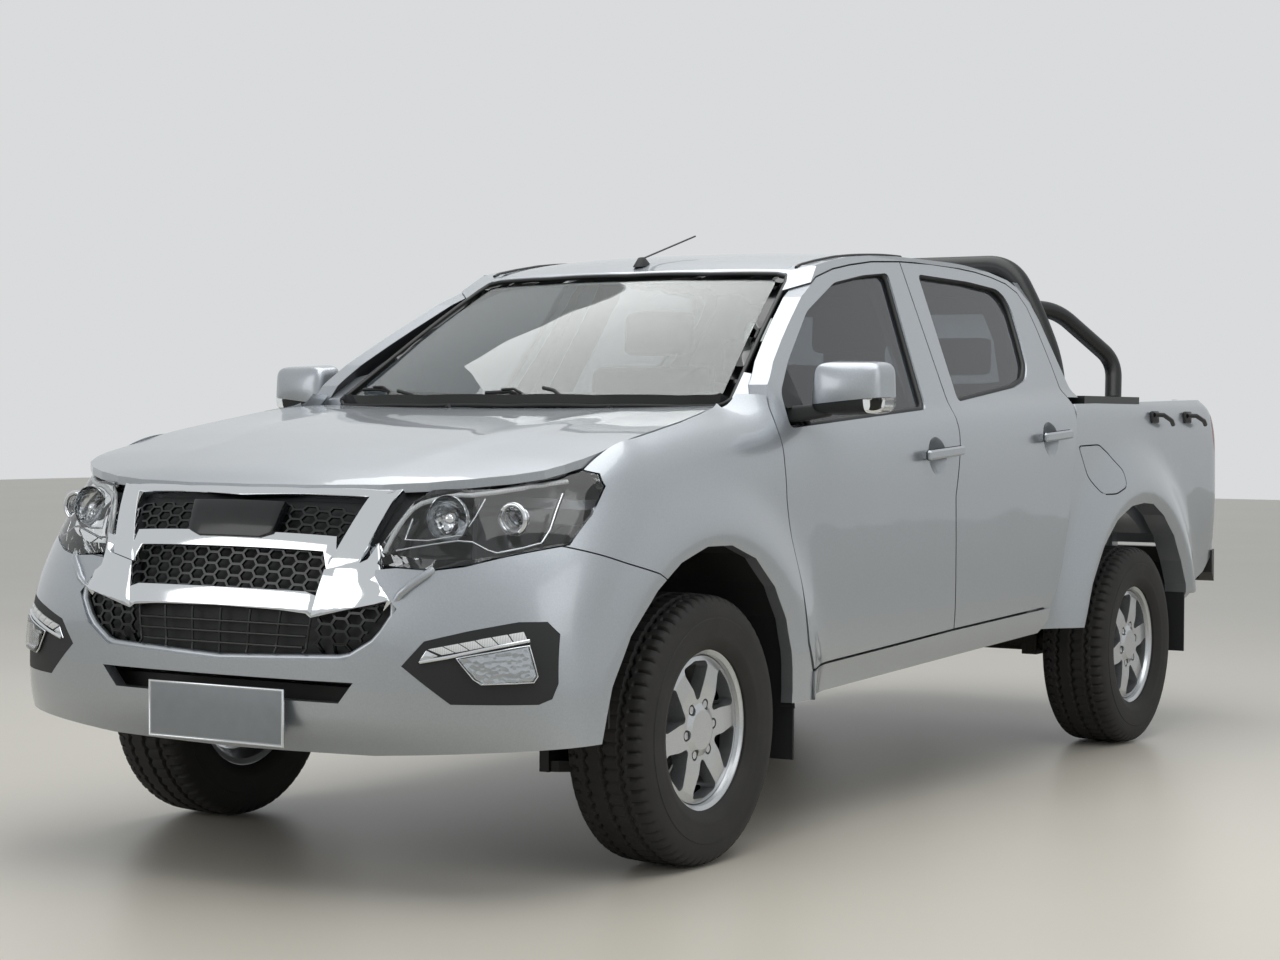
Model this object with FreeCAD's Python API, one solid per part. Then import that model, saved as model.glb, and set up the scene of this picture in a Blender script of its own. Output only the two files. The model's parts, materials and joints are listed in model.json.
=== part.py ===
import FreeCAD, Part
import math
import os

V = FreeCAD.Vector
os.makedirs("parts", exist_ok=True)

# ---------------------------------------------------------------- driving dimensions (mm)
# +X is the vehicle's left, -Y is forward, +Z is up, the floor is z = 0
WHEELBASE = 3095.0
FRONT_OVERHANG = 920.0
REAR_OVERHANG = 1105.0
TRACK = 1570.0
DOOR_HALF = 893.0          # half width over the door skins
FLARE_HALF = 930.0         # half width over the wheel arch lips
CAB_LIFT = 0.0             # raises every height of the greenhouse roof
TYRE_R = 360.0
TYRE_W = 245.0
BEAD_R = 203.2
GAP = 5.0                  # shut gap round every moving panel
NEAR = 0.3                 # running gap between faces on different bodies

LENGTH = FRONT_OVERHANG + WHEELBASE + REAR_OVERHANG
FA = FRONT_OVERHANG - LENGTH / 2.0     # y of the front axle
RA = FA + WHEELBASE                    # y of the rear axle
AXLE_Z = TYRE_R
HALF_TRACK = TRACK / 2.0
SX = DOOR_HALF / 893.0                 # scales every width of the body
DOOR_T = 60.0                          # a door is this thick
PILLAR_OFF = DOOR_T + 9.0              # the pillars stand this far inside the skin


# ---------------------------------------------------------------- small helpers
def tab(pairs):
    """Monotone cubic through (t, value) pairs, held constant outside them."""
    xs = [p[0] for p in pairs]
    ys = [p[1] for p in pairs]
    n = len(xs)
    d = [(ys[i + 1] - ys[i]) / (xs[i + 1] - xs[i]) for i in range(n - 1)]
    m = [d[0]]
    for i in range(1, n - 1):
        m.append(0.0 if d[i - 1] * d[i] <= 0 else 2.0 * d[i - 1] * d[i] / (d[i - 1] + d[i]))
    m.append(d[-1])

    def value(t):
        if t <= xs[0]:
            return ys[0]
        if t >= xs[-1]:
            return ys[-1]
        i = 0
        while t > xs[i + 1]:
            i += 1
        h = xs[i + 1] - xs[i]
        s = (t - xs[i]) / h
        a = (1 + 2 * s) * (1 - s) ** 2 * ys[i] + s * (1 - s) ** 2 * h * m[i]
        b = s * s * (3 - 2 * s) * ys[i + 1] + s * s * (s - 1) * h * m[i + 1]
        return a + b
    return value


def step(t, a, b):
    """Smooth 0 to 1 as t goes from a to b."""
    s = min(1.0, max(0.0, (t - a) / (b - a)))
    return s * s * (3 - 2 * s)


def box(x0, x1, y0, y1, z0, z1):
    return Part.makeBox(x1 - x0, y1 - y0, z1 - z0, V(x0, y0, z0))


def rod(p, q, r):
    p = V(*p)
    q = V(*q)
    return Part.makeCylinder(r, (q - p).Length, p, q - p)


def poly(points):
    pts = [V(*p) for p in points]
    return Part.Face(Part.makePolygon(pts + [pts[0]]))


def prism_x(yz, x0, x1):
    return poly([(x0, y, z) for y, z in yz]).extrude(V(x1 - x0, 0, 0))


def prism_y(xz, y0, y1):
    return poly([(x, y0, z) for x, z in xz]).extrude(V(0, y1 - y0, 0))


def prism_z(xy, z0, z1):
    return poly([(x, y, z0) for x, y in xy]).extrude(V(0, 0, z1 - z0))


def fa(points):
    """(y from the front axle, z) to the part's own (y, z)."""
    return [(FA + y, z) for y, z in points]


def ra(points):
    return [(RA + y, z) for y, z in points]


def area(points):
    n = len(points)
    s = 0.0
    for i in range(n):
        a = points[i]
        b = points[(i + 1) % n]
        s += a[0] * b[1] - b[0] * a[1]
    return s / 2.0


def grow(points, d):
    """Offsets a closed outline by d, outwards when d is positive."""
    if area(points) < 0:
        points = points[::-1]
    n = len(points)
    out = []
    for i in range(n):
        ax, ay = points[i - 1]
        bx, by = points[i]
        cx, cy = points[(i + 1) % n]
        l1 = math.hypot(bx - ax, by - ay)
        l2 = math.hypot(cx - bx, cy - by)
        n1 = ((by - ay) / l1, -(bx - ax) / l1)
        n2 = ((cy - by) / l2, -(cx - bx) / l2)
        k = 1.0 + n1[0] * n2[0] + n1[1] * n2[1]
        k = max(k, 0.35)
        out.append((bx + d * (n1[0] + n2[0]) / k, by + d * (n1[1] + n2[1]) / k))
    return out


def soften(points, r, n=4):
    """Rounds every corner of a closed outline with about radius r."""
    m = len(points)
    out = []
    for i in range(m):
        a = points[i - 1]
        b = points[i]
        c = points[(i + 1) % m]
        la = math.hypot(a[0] - b[0], a[1] - b[1])
        lc = math.hypot(c[0] - b[0], c[1] - b[1])
        ka = min(r, la * 0.45) / la
        kc = min(r, lc * 0.45) / lc
        p = (b[0] + (a[0] - b[0]) * ka, b[1] + (a[1] - b[1]) * ka)
        q = (b[0] + (c[0] - b[0]) * kc, b[1] + (c[1] - b[1]) * kc)
        for j in range(n + 1):
            t = j / float(n)
            u = (1 - t) * (1 - t)
            v = 2 * t * (1 - t)
            w = t * t
            out.append((u * p[0] + v * b[0] + w * q[0], u * p[1] + v * b[1] + w * q[1]))
    return out


def mirror(shape):
    return shape.mirror(V(0, 0, 0), V(1, 0, 0))


def both(shape):
    return [shape, mirror(shape)]


def net(rows):
    """Smooth surface drawn by a net of control points."""
    nu = len(rows)
    nv = len(rows[0])
    ku = [i for i in range(nu - 2)]
    kv = [i for i in range(nv - 2)]
    mu = [4] + [1] * (nu - 4) + [4]
    mv = [4] + [1] * (nv - 4) + [4]
    s = Part.BSplineSurface()
    s.buildFromPolesMultsKnots(rows, mu, mv, ku, kv, False, False, 3, 3)
    return Part.Face(s)


def steps(a, b, d):
    n = max(4, int(math.ceil((b - a) / d)))
    return [a + (b - a) * i / n for i in range(n + 1)]


def one(shape):
    """The shape as one solid, or as the list of its solids."""
    s = shape.removeSplitter()
    return s.Solids[0] if len(s.Solids) == 1 else s


def biggest(shape):
    return max(shape.Solids, key=lambda s: s.Volume)


def save(name, shapes):
    if not isinstance(shapes, list):
        shapes = [shapes]
    solids = []
    for s in shapes:
        solids += s.Solids
    solids = [s for s in solids if s.Volume > 50.0]
    for s in solids:
        if not s.isValid():
            print("   check", name, "has a faulty solid")
    shape = solids[0] if len(solids) == 1 else Part.makeCompound(solids)
    shape.exportStep("parts/" + name + ".step")
    b = shape.BoundBox
    print("%-20s %d  x %6.0f %6.0f  y %6.0f %6.0f  z %6.0f %6.0f" % (
        name, len(solids), b.XMin, b.XMax, b.YMin, b.YMax, b.ZMin, b.ZMax))


# ---------------------------------------------------------------- body surfaces
BELT_SLOPE = 0.486                     # the greenhouse leans in by this much per mm of height
LOWER = tab([(300, 838), (385, 850), (440, 862), (503, 884), (600, 892), (750, 895), (950, 893), (1200, 893)])
BELT_Z = tab([(400, 1142), (489, 1150), (1440, 1208), (1694, 1232), (2204, 1262), (2650, 1285)])
HOOD_X = tab([(-800, 700), (-700, 748), (-600, 778), (-560, 788), (-480, 797), (-400, 799), (-260, 797),
              (20, 785), (150, 768), (250, 745), (400, 700)])
HOOD_EDGE_Z = tab([(-800, 960), (-750, 985), (-700, 1010), (-600, 1043), (-500, 1072), (-400, 1092),
                   (-260, 1125), (20, 1172), (250, 1207), (400, 1218)])
HOOD_MID_Z = tab([(-800, 1000), (-760, 1024), (-700, 1046), (-600, 1071), (-500, 1096), (-400, 1117),
                  (-260, 1144), (20, 1181), (250, 1203), (330, 1208), (450, 1213)])


def lean_x(z):
    return 804.0 - BELT_SLOPE * (z - 1270.0)


def arch_bulge(u, z, crest, reach, full):
    """Extra half width near a wheel arch; u is measured from its axle."""
    r = math.hypot(u, z - 355.0)
    return full * (1.0 - step(r, crest, reach))


def side_x(y, z):
    """Half width of the cab side and the front wing at (y, z)."""
    u = y - FA
    low = LOWER(z)
    belt = BELT_Z(u)
    xb = lean_x(belt)
    if z >= belt:
        door = xb - BELT_SLOPE * (z - belt)
    else:
        door = low - (low - xb) * math.exp(-(belt - z) / 60.0)
    if u < 480.0:
        ze = HOOD_EDGE_Z(u)
        xe = HOOD_X(u)
        if z >= ze:
            wing = xe - 1.2 * (z - ze)
        else:
            wing = low - (low - xe) * math.exp(-(ze - z) / 60.0)
        k = step(u, 250.0, 480.0)
        x = wing * (1 - k) + door * k
    else:
        x = door
    if u < 700.0:
        r = math.hypot(u, z - 355.0)
        k = 1.0 - step(r, 520.0, 690.0)
        k *= 1.0 - 0.35 * (1.0 - step(r, 440.0, 520.0))
        x += max(0.0, FLARE_HALF - x) * k
    return x * SX


BED_X = tab([(440, 838), (520, 848), (700, 864), (900, 874), (1100, 873), (1180, 868), (1225, 858),
             (1250, 842), (1265, 815)])
TAIL_Y = tab([(440, 985), (700, 1000), (1000, 996), (1100, 990), (1200, 965), (1265, 925)])


def bed_x(y, z):
    """Half width of the load bed's side at (y, z)."""
    v = y - RA
    x = BED_X(z)
    r = math.hypot(v, z - 355.0)
    k = 1.0 - step(r, 560.0, 770.0)
    k *= 1.0 - 0.25 * (1.0 - step(r, 500.0, 560.0))
    if z < 500 and v > 0:
        k *= 0.6
    x += max(0.0, FLARE_HALF - x) * k
    t = (v - (TAIL_Y(z) - 95.0)) / 95.0
    if t > 0:
        t = min(t, 0.985)
        x -= 80.0 * (1.0 - math.sqrt(1.0 - t * t))
    return x * SX


NOSE_Y = tab([(300, -835), (345, -850), (400, -885), (450, -905), (560, -919), (640, -920), (700, -915),
              (800, -893), (900, -858), (960, -832), (1005, -802), (1040, -752), (1080, -670), (1130, -560),
              (1300, -300)])
CORNER_Y = tab([(300, -540), (600, -540), (700, -520), (800, -450), (900, -350), (1000, -260), (1100, -240),
                (1300, -100)])


def front_point(s, z):
    """Wrap-round nose: s runs 0 at the middle, 1 at the end of the corner, 2 on the side."""
    yn = FA + NOSE_Y(z)
    yc = FA + CORNER_Y(z)
    if s <= 1.0:
        a = s * math.pi / 2.0
        n = 2.0 / 2.4
        w = side_x(yc, z)
        x = w * math.sin(a) ** n
        y = yc - (yc - yn) * max(0.0, math.cos(a)) ** n
    else:
        y = yc + (FA + 640.0 - yc) * (s - 1.0)
        x = side_x(y, z)
    return V(x, y, z)


def hood_z(x, y):
    u = y - FA
    zm = HOOD_MID_Z(u)
    ze = HOOD_EDGE_Z(u)
    k = (abs(x) / (HOOD_X(u) * SX)) ** 2.5
    crease = 7.0 * math.exp(-((abs(x) - (470.0 + 0.16 * u)) / 45.0) ** 2) * step(u, -760, -500) * (
        1.0 - step(u, 100, 330))
    return zm + (ze - zm) * min(k, 1.6) + crease


ROOF_MID = tab([(960, 1626), (1040, 1646), (1120, 1672), (1250, 1698), (1450, 1718), (1700, 1729), (1950, 1731),
                (2200, 1727), (2430, 1713), (2580, 1694), (2660, 1672), (2740, 1630)])
ROOF_EDGE = tab([(960, 1600), (1040, 1626), (1200, 1662), (1334, 1684), (1500, 1700), (1709, 1710),
                 (2134, 1712), (2422, 1694), (2560, 1672), (2614, 1655), (2680, 1620), (2740, 1570)])


def roof_z(x, y):
    u = y - FA
    k = (abs(x) / (597.0 * SX)) ** 2.6
    return ROOF_MID(u) + (ROOF_EDGE(u) - ROOF_MID(u)) * k + CAB_LIFT


def side_slab(y0, y1, z0, z1, thick, inset=0.0, func=side_x, dy=60.0, dz=24.0):
    rows = []
    for y in steps(y0 - 90.0, y1 + 90.0, dy):
        rows.append([V(func(y, z) - inset, y, z) for z in steps(z0 - 40.0, z1 + 40.0, dz)])
    return net(rows).extrude(V(-thick, 0, 0))


def front_slab(z0, z1, thick):
    rows = []
    ss = [i / 16.0 for i in range(17)] + [1.0 + i / 14.0 for i in range(1, 15)]
    for s in ss:
        rows.append([front_point(s, z) for z in steps(z0, z1, 24.0)])
    k = thick / math.sqrt(2.0)
    return net(rows).extrude(V(-k, k, 0))


def hood_slab(lift, thick, dx=55.0, dy=50.0):
    rows = []
    for y in steps(FA - 860.0, FA + 520.0, dy):
        rows.append([V(x, y, hood_z(x, y) + lift) for x in steps(-950.0 * SX, 950.0 * SX, dx)])
    return net(rows).extrude(V(0, 0, thick))


# ---------------------------------------------------------------- outlines (y from the front axle, z)
def bow(x):
    return 1.85e-4 * (x / SX) ** 2


SHUT_B = [(1535, 507), (1528, 736), (1530, 940), (1613, 1224), (1718, 1690)]
FRONT_DOOR = [(536, 478), (497, 560), (474, 715), (441, 850), (424, 953), (421, 1050), (429, 1147),
              (447, 1216), (476, 1278), (560, 1345), (662, 1408), (755, 1462), (905, 1545), (1062, 1611),
              (1200, 1643), (1334, 1663), (1500, 1682), (1716, 1694)] + SHUT_B[::-1][1:-1] + [(1535, 522)]
REAR_DOOR = [(1535, 522)] + SHUT_B[1:-1] + [(1716, 1694), (1950, 1699), (2134, 1697), (2300, 1690),
             (2422, 1678), (2530, 1660), (2600, 1630), (2630, 1580), (2632, 1504), (2618, 1373),
             (2592, 1243), (2531, 1116), (2486, 971), (2448, 833), (2400, 697), (2352, 597), (2303, 548)]
FRONT_WINDOW = [(500, 1154), (1437, 1212), (1588, 1650), (1400, 1634), (1172, 1600), (904, 1500),
                (655, 1348), (530, 1255)]
REAR_WINDOW = [(1697, 1238), (2204, 1290), (2330, 1318), (2395, 1365), (2440, 1460), (2478, 1563),
               (2468, 1612), (2425, 1637), (2200, 1652), (1816, 1658)]
SAIL = [(500, 1154), (640, 1163), (622, 1326), (530, 1255)]
FRONT_ARCH = [(-590, 300), (-566, 392), (-520, 520), (-440, 640), (-316, 746), (-200, 812), (-69, 848),
              (60, 846), (190, 806), (300, 724), (370, 630), (405, 540), (428, 430), (436, 300)]
REAR_ARCH = [(-600, 300), (-570, 466), (-505, 610), (-400, 735), (-270, 825), (-120, 872), (0, 880),
             (96, 874), (212, 829), (330, 748), (415, 648), (470, 560), (498, 440), (505, 300)]
BUMPER_TOP = [(-960, 925), (-760, 893), (-620, 868), (-307, 787), (-200, 740)]


def inner_face_shift(points, k=0.42):
    """Moves an outline so that a slanted cut still meets the skin along it."""
    return [(y + k * (FLARE_HALF + 30.0 - side_x(y, z)), z) for y, z in points]


def slanted_prism(points, k=0.42):
    x0 = FLARE_HALF + 30.0
    depth = 560.0
    face = poly([(x0, y, z) for y, z in points])
    return face.extrude(V(-depth, -k * depth, 0))


def closer(line, gap):
    """The same line with extra points, at most gap apart."""
    out = [line[0]]
    for a, b in zip(line[:-1], line[1:]):
        n = max(1, int(math.ceil(math.hypot(b[0] - a[0], b[1] - a[1]) / gap)))
        out += [(a[0] + (b[0] - a[0]) * k / n, a[1] + (b[1] - a[1]) * k / n) for k in range(1, n + 1)]
    return out


def open_rear(points, rear_from, by):
    """Moves the rear edge of an outline back, so that only the slanted cut shapes it."""
    at_rear = [p[0] >= rear_from(p[1]) for p in points]
    out = []
    for i, p in enumerate(points):
        if at_rear[i] and not at_rear[i - 1]:
            out.append(p)
        out.append((p[0] + by, p[1]) if at_rear[i] else p)
        if at_rear[i] and not at_rear[(i + 1) % len(points)]:
            out.append(p)
    return out


def door_cutter(outline, d, rear_from):
    """Door volume grown by d; its rear edge slants so that it clears as the door swings."""
    pts = grow(fa(outline), d)
    straight = prism_x(open_rear(pts, rear_from, 25.0), 400.0, FLARE_HALF + 30.0)
    lead = min(p[0] for p in pts) - 700.0
    edge = [p for p in pts if p[0] >= rear_from(p[1])]
    edge.sort(key=lambda p: p[1])
    edge = [(edge[0][0], edge[0][1] - 120.0)] + edge + [(edge[-1][0], edge[-1][1] + 120.0)]
    rear = [(y - 1.5, z) for y, z in inner_face_shift(closer(edge, 70.0))]
    region = rear + [(lead, rear[-1][1]), (lead, rear[0][1])]
    return straight.common(slanted_prism(region))


def half_way(a, b):
    f = tab(a)

    def value(z):
        return FA + f(z) + b
    return value


B_LINE = [(z, y) for y, z in SHUT_B]
B_LINE[0] = (400, 1535)


def front_door_cut(d):
    return door_cutter(FRONT_DOOR, d, half_way([(z, y) for z, y in B_LINE] + [(1800, 1740)], -40.0))


def rear_door_cut(d):
    back = [(400, 2200), (597, 2300), (697, 2352), (833, 2400), (971, 2440), (1116, 2480), (1243, 2540),
            (1500, 2580), (1620, 2570), (1700, 2500)]
    return door_cutter(REAR_DOOR, d, half_way(back, 0.0))


print("length", LENGTH, "front axle y", FA, "rear axle y", RA)

# ---------------------------------------------------------------- doors, glass, mirrors


def cab_slab(thick, inset=0.0):
    """Every cab piece takes its skin from one and the same net."""
    return side_slab(FA + 380.0, FA + 2700.0, 380.0, 1745.0, thick, inset)


door_skin = cab_slab(DOOR_T)


def handle(y0, y1, z0, z1):
    ym = FA + (y0 + y1) / 2.0
    zm = (z0 + z1) / 2.0
    x = side_x(ym, zm)
    bar = box(x + 18, x + 36, FA + y0, FA + y1, zm - 15, zm + 15)
    bar = bar.makeChamfer(6.0, bar.Edges)
    feet = [box(x - 20, x + 28, FA + y - 13, FA + y + 13, zm - 11, zm + 11) for y in (y0 + 30, y1 - 30)]
    turn = math.degrees(math.atan2(z1 - z0, y1 - y0))
    shape = bar.fuse(feet)
    shape.rotate(V(x, ym, zm), V(1, 0, 0), turn)
    dish = Part.makeSphere(108.0, V(x + 87.0, ym - 6.0, zm))
    return shape, dish


def make_door(cutter, window, grip):
    door = door_skin.common(cutter)
    opening = soften(grow(fa(window), 0.0), 26.0)
    door = door.cut(prism_x(opening, 300.0, 1000.0))
    bar, dish = handle(*grip)
    door = door.cut(dish)
    door = door.fuse(bar)
    return biggest(one(door))


front_door = make_door(front_door_cut(-GAP / 2.0), FRONT_WINDOW, (1284, 1536, 1071, 1085))
rear_door = make_door(rear_door_cut(-GAP / 2.0), REAR_WINDOW, (2195, 2425, 1122, 1134))
save("front_door_left", front_door)
save("front_door_right", mirror(front_door))
save("rear_door_left", rear_door)
save("rear_door_right", mirror(rear_door))

glass_skin = side_slab(FA + 480.0, FA + 2500.0, 1140.0, 1680.0, 5.0, 20.0)
front_pane_line = [(y, z) for y, z in FRONT_WINDOW]
pane = glass_skin.common(prism_x(grow(soften(grow(fa(FRONT_WINDOW), 0.0), 26.0), -0.5), 300, 1000))
sail_line = [(470, 1100), (645, 1130), (622, 1400), (470, 1400)]
pane = biggest(pane.cut(prism_x(fa(sail_line), 300, 1000)))
save("front_glass_left", pane)
save("front_glass_right", mirror(pane))
pane = glass_skin.common(prism_x(grow(soften(grow(fa(REAR_WINDOW), 0.0), 26.0), -0.5), 300, 1000))
save("rear_glass_left", biggest(pane))
save("rear_glass_right", mirror(biggest(pane)))


def make_mirror():
    sail = side_slab(FA + 480.0, FA + 700.0, 1140.0, 1420.0, 22.0, 2.0)
    inner = grow(soften(grow(fa(FRONT_WINDOW), 0.0), 26.0), -0.5)
    sail = sail.common(prism_x(inner, 300, 1000)).common(prism_x(fa([(470, 1100), (644.5, 1130), (621.5, 1400),
                                                                     (470, 1400)]), 300, 1000))
    sail = biggest(sail)
    arm = prism_y([(818, 1166), (960, 1176), (960, 1212), (806, 1212)], FA + 548.0, FA + 618.0)
    plan = prism_z([(874, FA + 690), (876, FA + 600), (886, FA + 568), (915, FA + 552), (1000, FA + 554),
                    (1064, FA + 574), (1096, FA + 612), (1102, FA + 690)], 1150, 1380)
    face = prism_y(soften([(872, 1192), (1104, 1192), (1104, 1343), (880, 1343)], 42.0), FA + 540, FA + 686)
    shell = plan.common(face)
    return biggest(one(sail.fuse([arm, shell])))


mirror_l = make_mirror()
save("mirror_left", mirror_l)
save("mirror_right", mirror(mirror_l))

# ---------------------------------------------------------------- hood
HOOD_FRONT = [(0, -797), (200, -790), (400, -762), (516, -729), (620, -682), (700, -633), (760, -580),
              (786, -530)]
HOOD_SIDE = [(799, -470), (800, -400), (797, -260), (793, -120), (785, 20), (768, 150), (745, 250), (722, 330)]
HOOD_REAR = [(690, 394), (500, 352), (300, 322), (0, 306)]


def hood_outline(d):
    half = [(x * SX, FA + y) for x, y in HOOD_FRONT + HOOD_SIDE + HOOD_REAR]
    full = half + [(-x, y) for x, y in half[::-1] if x > 0.1]
    clean = []
    for p in full:
        if not clean or math.hypot(p[0] - clean[-1][0], p[1] - clean[-1][1]) > 0.5:
            clean.append(p)
    return grow(clean, d)


hood = biggest(hood_slab(0.0, -22.0).common(prism_z(hood_outline(0.0), 850.0, 1400.0)))
save("hood", hood)
hood_room = hood_slab(-30.0, 400.0).common(prism_z(hood_outline(GAP), 850.0, 1800.0))
over_hood = prism_z(hood_outline(GAP), 1140.0, 1500.0)

# ---------------------------------------------------------------- nose: wings, bumper, lamps, grille
nose = front_slab(318.0, 1330.0, 46.0)
deep_nose = front_slab(318.0, 1330.0, 130.0)
LAMP = [(424, 826), (500, 817), (590, 812), (660, 822), (740, 846), (842, 872), (850, 940), (846, 1010),
        (829, 1040), (800, 1050), (735, 1046), (640, 1028), (538, 1008), (500, 975), (455, 880)]
lamp_line = [(x * SX, z) for x, z in LAMP]
lamp_prism = prism_y(lamp_line, FA - 960.0, FA - 380.0)
lamp_room = prism_y(grow(lamp_line, 3.0), FA - 960.0, FA - 372.0)
FOG = [(541, 579), (597, 641), (700, 668), (800, 690), (850, 690), (872, 660), (877, 541), (868, 505),
       (845, 492), (659, 490)]
fog_line = [(x * SX, z) for x, z in FOG]
front_arch = prism_x([(FA - 600.0, 200.0)] + fa(FRONT_ARCH) + [(FA + 436.0, 200.0)], 560.0, 1000.0)
below_seam = prism_x([(FA - 990.0, 250.0)] + [(FA + y, z) for y, z in BUMPER_TOP] + [(FA - 200.0, 250.0)],
                     -1000.0, 1000.0)
above_seam = prism_x([(FA - 990.0, 1500.0)] + [(FA + y, z + 4.0) for y, z in BUMPER_TOP] +
                     [(FA - 200.0, 744.0), (FA - 150.0, 500.0), (FA - 150.0, 250.0), (FA + 600.0, 250.0),
                      (FA + 600.0, 1500.0)], -1000.0, 1000.0)

WING_REAR = [(539, 470), (497, 556), (474, 715), (441, 850), (424, 953), (421, 1050), (429, 1147),
             (447, 1216), (458, 1248)]
wing_rear = [(FA + y - GAP / 2.0, z) for y, z in WING_REAR]
wing_zone = prism_x([(FA - 700.0, 1000.0), (FA - 700.0, 840.0), (FA - 307.0, 740.0), (FA - 100.0, 380.0),
                     (wing_rear[0][0], 395.0)] + wing_rear + [(FA + 380.0, 1250.0), (FA + 300.0, 1300.0),
                     (FA - 700.0, 1300.0)], 560.0, 1000.0)
wing = nose.common(wing_zone).common(above_seam)
wing = wing.cut(front_arch).cut(lamp_room).cut(hood_room).cut(over_hood)
screen_side = prism_x([(FA + 300.0, 1130.0), (FA + 420.0, 1215.0), (FA + 520.0, 1290.0), (FA + 300.0, 1400.0)],
                      0.0, 752.0)
wing = biggest(wing.cut(screen_side))
save("front_wing_left", wing)
save("front_wing_right", mirror(wing))


# the chrome frame and mesh of the grille fill the middle above the bumper
GRILLE = [(0, 576), (390, 592), (470, 640), (518, 718), (423, 822), (452, 880), (497, 978), (516, 1005), (0, 1005)]
grille_line = [(x * SX, z) for x, z in GRILLE]
grille_half = deep_nose.common(prism_y(grille_line, FA - 960.0, FA - 560.0)).cut(hood_room)
grille = biggest(one(grille_half.fuse(mirror(grille_half))))
save("grille", grille)
grille_room = prism_y(grow(grille_line, 0.4), FA - 980.0, FA - 500.0)
headlight = biggest(deep_nose.common(lamp_prism).cut(hood_room).cut(grille_room))
save("headlight_left", headlight)
save("headlight_right", mirror(headlight))

BUMPER_EDGE = [(-10, 560), (0, 573), (391, 589), (472, 638), (522, 716), (432, 806), (500, 813), (592, 808),
               (662, 818), (742, 842), (845, 869), (940, 880), (990, 700), (990, 300), (-10, 300)]
bumper_zone = prism_y([(x * SX, z) for x, z in BUMPER_EDGE], FA - 980.0, FA + 100.0)
bottom_cut = prism_y([(-20, 200), (990, 200), (990, 392), (895, 384), (560, 359), (430, 350), (0, 344),
                      (-20, 344)], FA - 990.0, FA + 100.0)
bumper_half = nose.common(bumper_zone).common(below_seam)
bumper_half = bumper_half.cut(prism_y(fog_line, FA - 960.0, FA - 600.0)).cut(front_arch).cut(bottom_cut)
bumper_half = bumper_half.cut(grille_room)
bumper_half = biggest(bumper_half)
bumper = one(bumper_half.fuse(mirror(bumper_half)))
lower_slot = prism_y([(-412, 533), (412, 533), (366, 480), (-366, 480)], FA - 990.0, FA - 780.0)
bumper = biggest(bumper.cut(lower_slot))
plate = box(-221.5, 221.5, FA - 926.0, FA - 920.5, 366.0, 506.0)
carrier = box(-180.0, 180.0, FA - 921.0, FA - 880.0, 380.0, 476.0)
bumper = biggest(one(bumper.fuse([carrier, plate])))
save("front_bumper", bumper)

inner_nose = front_slab(318.0, 1330.0, 100.0)
fog = inner_nose.common(prism_y(grow(fog_line, -0.4), FA - 960.0, FA - 600.0))
fog.translate(V(0, 0, 0))
fog = biggest(fog)
save("fog_lamps", both(fog))

# ---------------------------------------------------------------- windscreen and rear window
SCREEN_LOW = (427.0, 1219.0)
SCREEN_TOP = (1048.0, 1619.0)
SCREEN_X_LOW = 697.0
SCREEN_X_TOP = 554.0
RISE = (SCREEN_TOP[1] - SCREEN_LOW[1]) / (SCREEN_TOP[0] - SCREEN_LOW[0])


def screen_point(x, t, lift):
    """t runs 0 at the lower corner height to 1 at the header; lift is along the outward normal."""
    y = SCREEN_LOW[0] + (SCREEN_TOP[0] - SCREEN_LOW[0]) * t
    z = SCREEN_LOW[1] + (SCREEN_TOP[1] - SCREEN_LOW[1] + CAB_LIFT) * t
    bulge = bow(x) - bow((SCREEN_X_LOW + (SCREEN_X_TOP - SCREEN_X_LOW) * t) * SX)
    sag = 22.0 * math.sin(math.pi * min(1.0, max(0.0, t))) * (1.0 - (x / (760.0 * SX)) ** 2)
    n = math.atan(RISE)
    return V(x, FA + y + bulge - (lift + sag) * math.sin(n), z + (lift + sag) * math.cos(n))


def screen_slab(lift, thick, x1, t0=-0.16, t1=1.12):
    rows = []
    for i in range(15):
        t = t0 + (t1 - t0) * i / 14.0
        rows.append([screen_point(x, t, lift) for x in steps(-x1, x1, 60.0)])
    n = math.atan(RISE)
    return net(rows).extrude(V(0, -thick * math.sin(n), thick * math.cos(n)))


SCREEN_LINE = [(0, 0.0), (300, 0.0), (560, 0.0), (664, 0.006), (697, 0.04), (690, 0.09), (568, 0.93),
               (553, 0.985), (515, 1.006), (300, 1.014), (0, 1.018)]


def screen_outline(d):
    """Outline drawn in plan, pushed straight up through the sloping glass."""
    half = []
    for x, t in SCREEN_LINE:
        p = screen_point(x * SX, t, 0.0)
        half.append((x * SX, p.y))
    return grow(half + [(-x, y) for x, y in half[::-1] if x > 0.1], d)


windscreen = biggest(screen_slab(-3.0, -5.0, 760.0 * SX).common(prism_z(screen_outline(-0.6), 1100.0, 1800.0)))
rear_pane_line = soften([(-545, 1275), (545, 1275), (500, 1560), (-500, 1560)], 45.0)
REAR_WALL_Y = FA + 2650.0
rear_pane = prism_y(grow([(x * SX, z + CAB_LIFT) for x, z in rear_pane_line], -0.6),
                    REAR_WALL_Y + 22.0, REAR_WALL_Y + 27.0)
save("cab_glass", [windscreen, rear_pane])

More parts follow.
